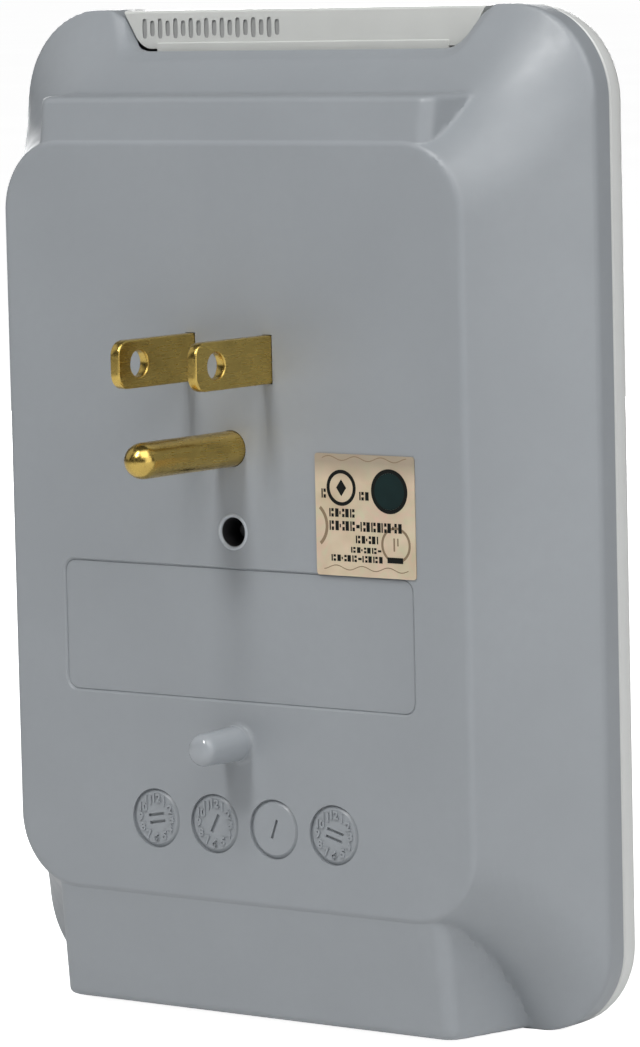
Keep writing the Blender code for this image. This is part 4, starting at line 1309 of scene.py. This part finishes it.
def threaded(centre, start, end, root, crest, pitch, segments=28):
    """Rings of a right-hand thread along Y from depth start to end, with a tapered run-out."""
    per_turn, run_in, run_out = 8, 8, 10
    steps = int(abs(start - end) / pitch * per_turn)
    rings = []
    for k in range(steps + 1):
        depth = start + (end - start) * k / steps
        taper = min(1.0, k / run_in, (steps - k) / run_out)
        ring = []
        for i, (c, s) in enumerate(circle(segments)):
            phase = (depth / pitch + i / segments) % 1.0
            r = root + (crest - root) * taper * max(0.0, 1 - abs(phase - 0.5) * 2.6)
            ring.append((centre[0] + r * c, -depth, centre[1] + r * s))
        rings.append(ring)
    return rings


def make_mounting_screw():
    head, top, tip = SCREW_HEAD_DEPTH, SCREW.depth[1], SCREW.depth[0]
    start = tip + THREAD_LENGTH
    centre = (0.0, 0.0)
    shape = [(0.4, top), (1.7, top - 0.05), (2.7, top - 0.4), (3.3, top - 1.0), (3.5, top - 1.5)]
    shape += [(3.5, head + 0.1), (3.4, head), (THREAD_ROOT, head), (THREAD_ROOT, start + 0.3)]
    rings = rings_at(centre, shape)
    rings += threaded(centre, start, tip + 0.9, THREAD_ROOT, THREAD_CREST, THREAD_PITCH)
    rings += rings_at(centre, [(0.95, tip + 0.1), (0.8, tip)])
    screw = make_object("mounting_screw_turned", loft(rings), "steel", "thread_steel_painted_shade")
    change(screw, "DIFFERENCE", block((-4.0, 4.0), (top - 1.1, top + PAST), (-0.5, 0.5)))
    change(screw, "DIFFERENCE", block((-0.5, 0.5), (top - 1.5, top + PAST), (-1.8, 1.8)))
    # The thread's faces take the near-black steel as painted shade.
    for face in screw.data.polygons:
        face.material_index = int(face.center.y > -start * MM)
    finish_piece(screw, "steel", "mounting_screw", body="screw")


def make_tapping_screw(node):
    """A pan-head tapping screw with a cross recess, whose head is at either end of its CAD node."""
    place = span(node)
    centre = (sum(place.x) / 2, sum(place.z) / 2)
    top, tip = place.depth if node.startswith("carrier") else place.depth[::-1]
    out = copysign(1, top - tip)
    head = ((0.3, 0.0), (1.2, 0.05), (1.8, 0.35), (2.2, 0.9), (2.2, 1.25))
    seat = top - out * 1.3
    rings = rings_at(centre, [(r, top - out * d) for r, d in head] + [(2.1, seat), (0.85, seat)])
    rings += threaded(centre, seat - out * 0.3, tip + out * 1.0, 0.8, 1.15, 0.9)
    rings += rings_at(centre, [(0.25, tip)])
    screw = make_object(node + "_turned", loft(rings), "steel")
    deep = sorted((top + out * 0.5, top - out * 0.8))
    for half_x, half_z in ((1.3, 0.28), (0.28, 1.3)):
        x = (centre[0] - half_x, centre[0] + half_x)
        z = (centre[1] - half_z, centre[1] + half_z)
        change(screw, "DIFFERENCE", block(x, deep, z))
    finish_piece(screw, "steel", node)


def make_washer():
    place = span("screw_washer")
    low, high = place.depth
    outer = place.x[1]
    a, b = WASHER_CHAMFERS
    profile = [(WASHER_BORE, low + a), (WASHER_BORE + a, low), (outer - b, low), (outer, low + b)]
    profile += [(outer, high - b), (outer - b, high), (WASHER_BORE + a, high), (WASHER_BORE, high - a)]
    washer = turned(profile, closed=True)
    make_piece("screw_washer_turned", washer, "steel", "screw_washer", body="screw_carriage")


# Springs of the shutters.


def make_spring(number, side):
    """A compression spring with closed ends."""
    node = "shutter_spring_" + str(number)
    place = span(node)
    fixed, free = place.x[::-1] if side > 0 else place.x
    wire, turns, closed = SPRING_WIRE, SPRING_TURNS, SPRING_CLOSED
    radius = (place.z[1] - place.z[0]) / 2 - wire
    depth = sum(place.depth) / 2
    height = sum(place.z) / 2
    path = []
    for k in range(SPRING_STEPS + 1):
        turn = k / SPRING_STEPS * turns
        eased = min(max((turn - closed) / (turns - 2 * closed), 0.0), 1.0)
        x = free + side * wire + (fixed - free - 2 * side * wire) * eased
        x += side * wire * 1.6 * (min(turn, closed) - closed + max(turn - turns + closed, 0.0))
        angle = tau * turn
        path.append((x, -depth + radius * cos(angle), height + radius * sin(angle)))
    spring = make_object(node + "_coil", tube_along(path, wire, 10), "steel")
    finish_piece(spring, "steel", node)
    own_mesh(spring)


# CAD nodes that stay.


def soften(obj):
    """Welds a kept node's corners, and rounds its edges or smooths its skin."""
    obj.modifiers.new("weld", "WELD").merge_threshold = 0.002 * MM
    if "wire" in obj.name:
        skin = obj.modifiers.new("skin", "SUBSURF")
        skin.levels = skin.render_levels = 2
    else:
        round_edges(obj, 0.12, 2, 40.0)
    obj.modifiers.new("normals", "WEIGHTED_NORMAL").keep_sharp = False


def refine_nodes():
    for finish, names in KEPT.items():
        for name in names:
            obj = frame["nodes"][name]
            obj.data.materials.clear()
            obj.data.materials.append(FINISHES[finish])
            soften(obj)


# Stage.


def make_camera():
    data = bpy.data.cameras.new("camera")
    data.lens = CAMERA_LENS
    camera = add_object("camera", data)
    camera.location = CAMERA_PLACE
    camera.rotation_euler = [radians(a) for a in CAMERA_TURN]
    bpy.context.scene.camera = camera


def make_light(name, place, width, power):
    """A square soft light that aims at the origin."""
    data = bpy.data.lights.new(name, "AREA")
    data.shape = "RECTANGLE"
    data.size = data.size_y = width
    data.energy = power
    light = add_object(name, data)
    light.location = place
    light.rotation_euler = (Vector() - Vector(place)).to_track_quat("-Z", "Y").to_euler()


def make_floor():
    """A pale floor that looks a little brighter to the camera than the light on it."""
    low = CAD_BOX[0].z
    mesh = bpy.data.meshes.new("floor")
    corners = [(a * FLOOR_HALF, b * FLOOR_HALF, low) for a, b in ((-1, -1), (1, -1), (1, 1), (-1, 1))]
    mesh.from_pydata(corners, [], [(0, 1, 2, 3)])
    n = Nodes("floor")
    colour = n.mix(n.range(n.noise(300.0)), (0.86, 0.86, 0.86), (0.88, 0.88, 0.88))
    seen = n.new("LightPath").outputs["Is Camera Ray"]
    strength = n.range(seen, *FLOOR_GLOW, 0.0, 1.0)
    n.paint(Base_Color=colour, Emission_Color=colour, Emission_Strength=strength, Roughness=0.9)
    mesh.materials.append(n.material)
    add_object("floor", mesh)


def make_world():
    """White where the camera sees it, and a soft dim light for everything else."""
    world = bpy.data.worlds.new("studio")
    world.use_nodes = True
    tree = world.node_tree
    background = tree.nodes["Background"]
    background.inputs["Color"].default_value = (1.0, 1.0, 1.0, 1.0)
    seen = tree.nodes.new("ShaderNodeLightPath").outputs["Is Camera Ray"]
    strength = tree.nodes.new("ShaderNodeMapRange")
    strength.inputs["To Min"].default_value, strength.inputs["To Max"].default_value = WORLD_GLOW
    tree.links.new(seen, strength.inputs["Value"])
    tree.links.new(strength.outputs["Result"], background.inputs["Strength"])
    bpy.context.scene.world = world


def make_studio():
    bpy.context.scene.view_settings.view_transform = "Standard"
    make_floor()
    make_world()
    for light in LIGHTS:
        make_light(*light)
    make_camera()


def main():
    make_finishes()
    make_rear_housing()
    make_front_housing()
    make_light_bar()
    make_label()
    for k, pointer in enumerate(DIAL_POINTERS):
        make_dial(k + 1, *pointer)
    make_blade("line_blade", 1)
    make_blade("neutral_blade", -1)
    make_ground_pin()
    make_mounting_screw()
    make_washer()
    for kind, count in (("holder", 2), ("board", 2), ("carrier", 4)):
        for k in range(count):
            make_tapping_screw(kind + "_screw_" + str(k + 1))
    for k, (side, _, _) in enumerate(outlets()):
        make_spring(k + 1, side)
    refine_nodes()
    make_studio()


main()
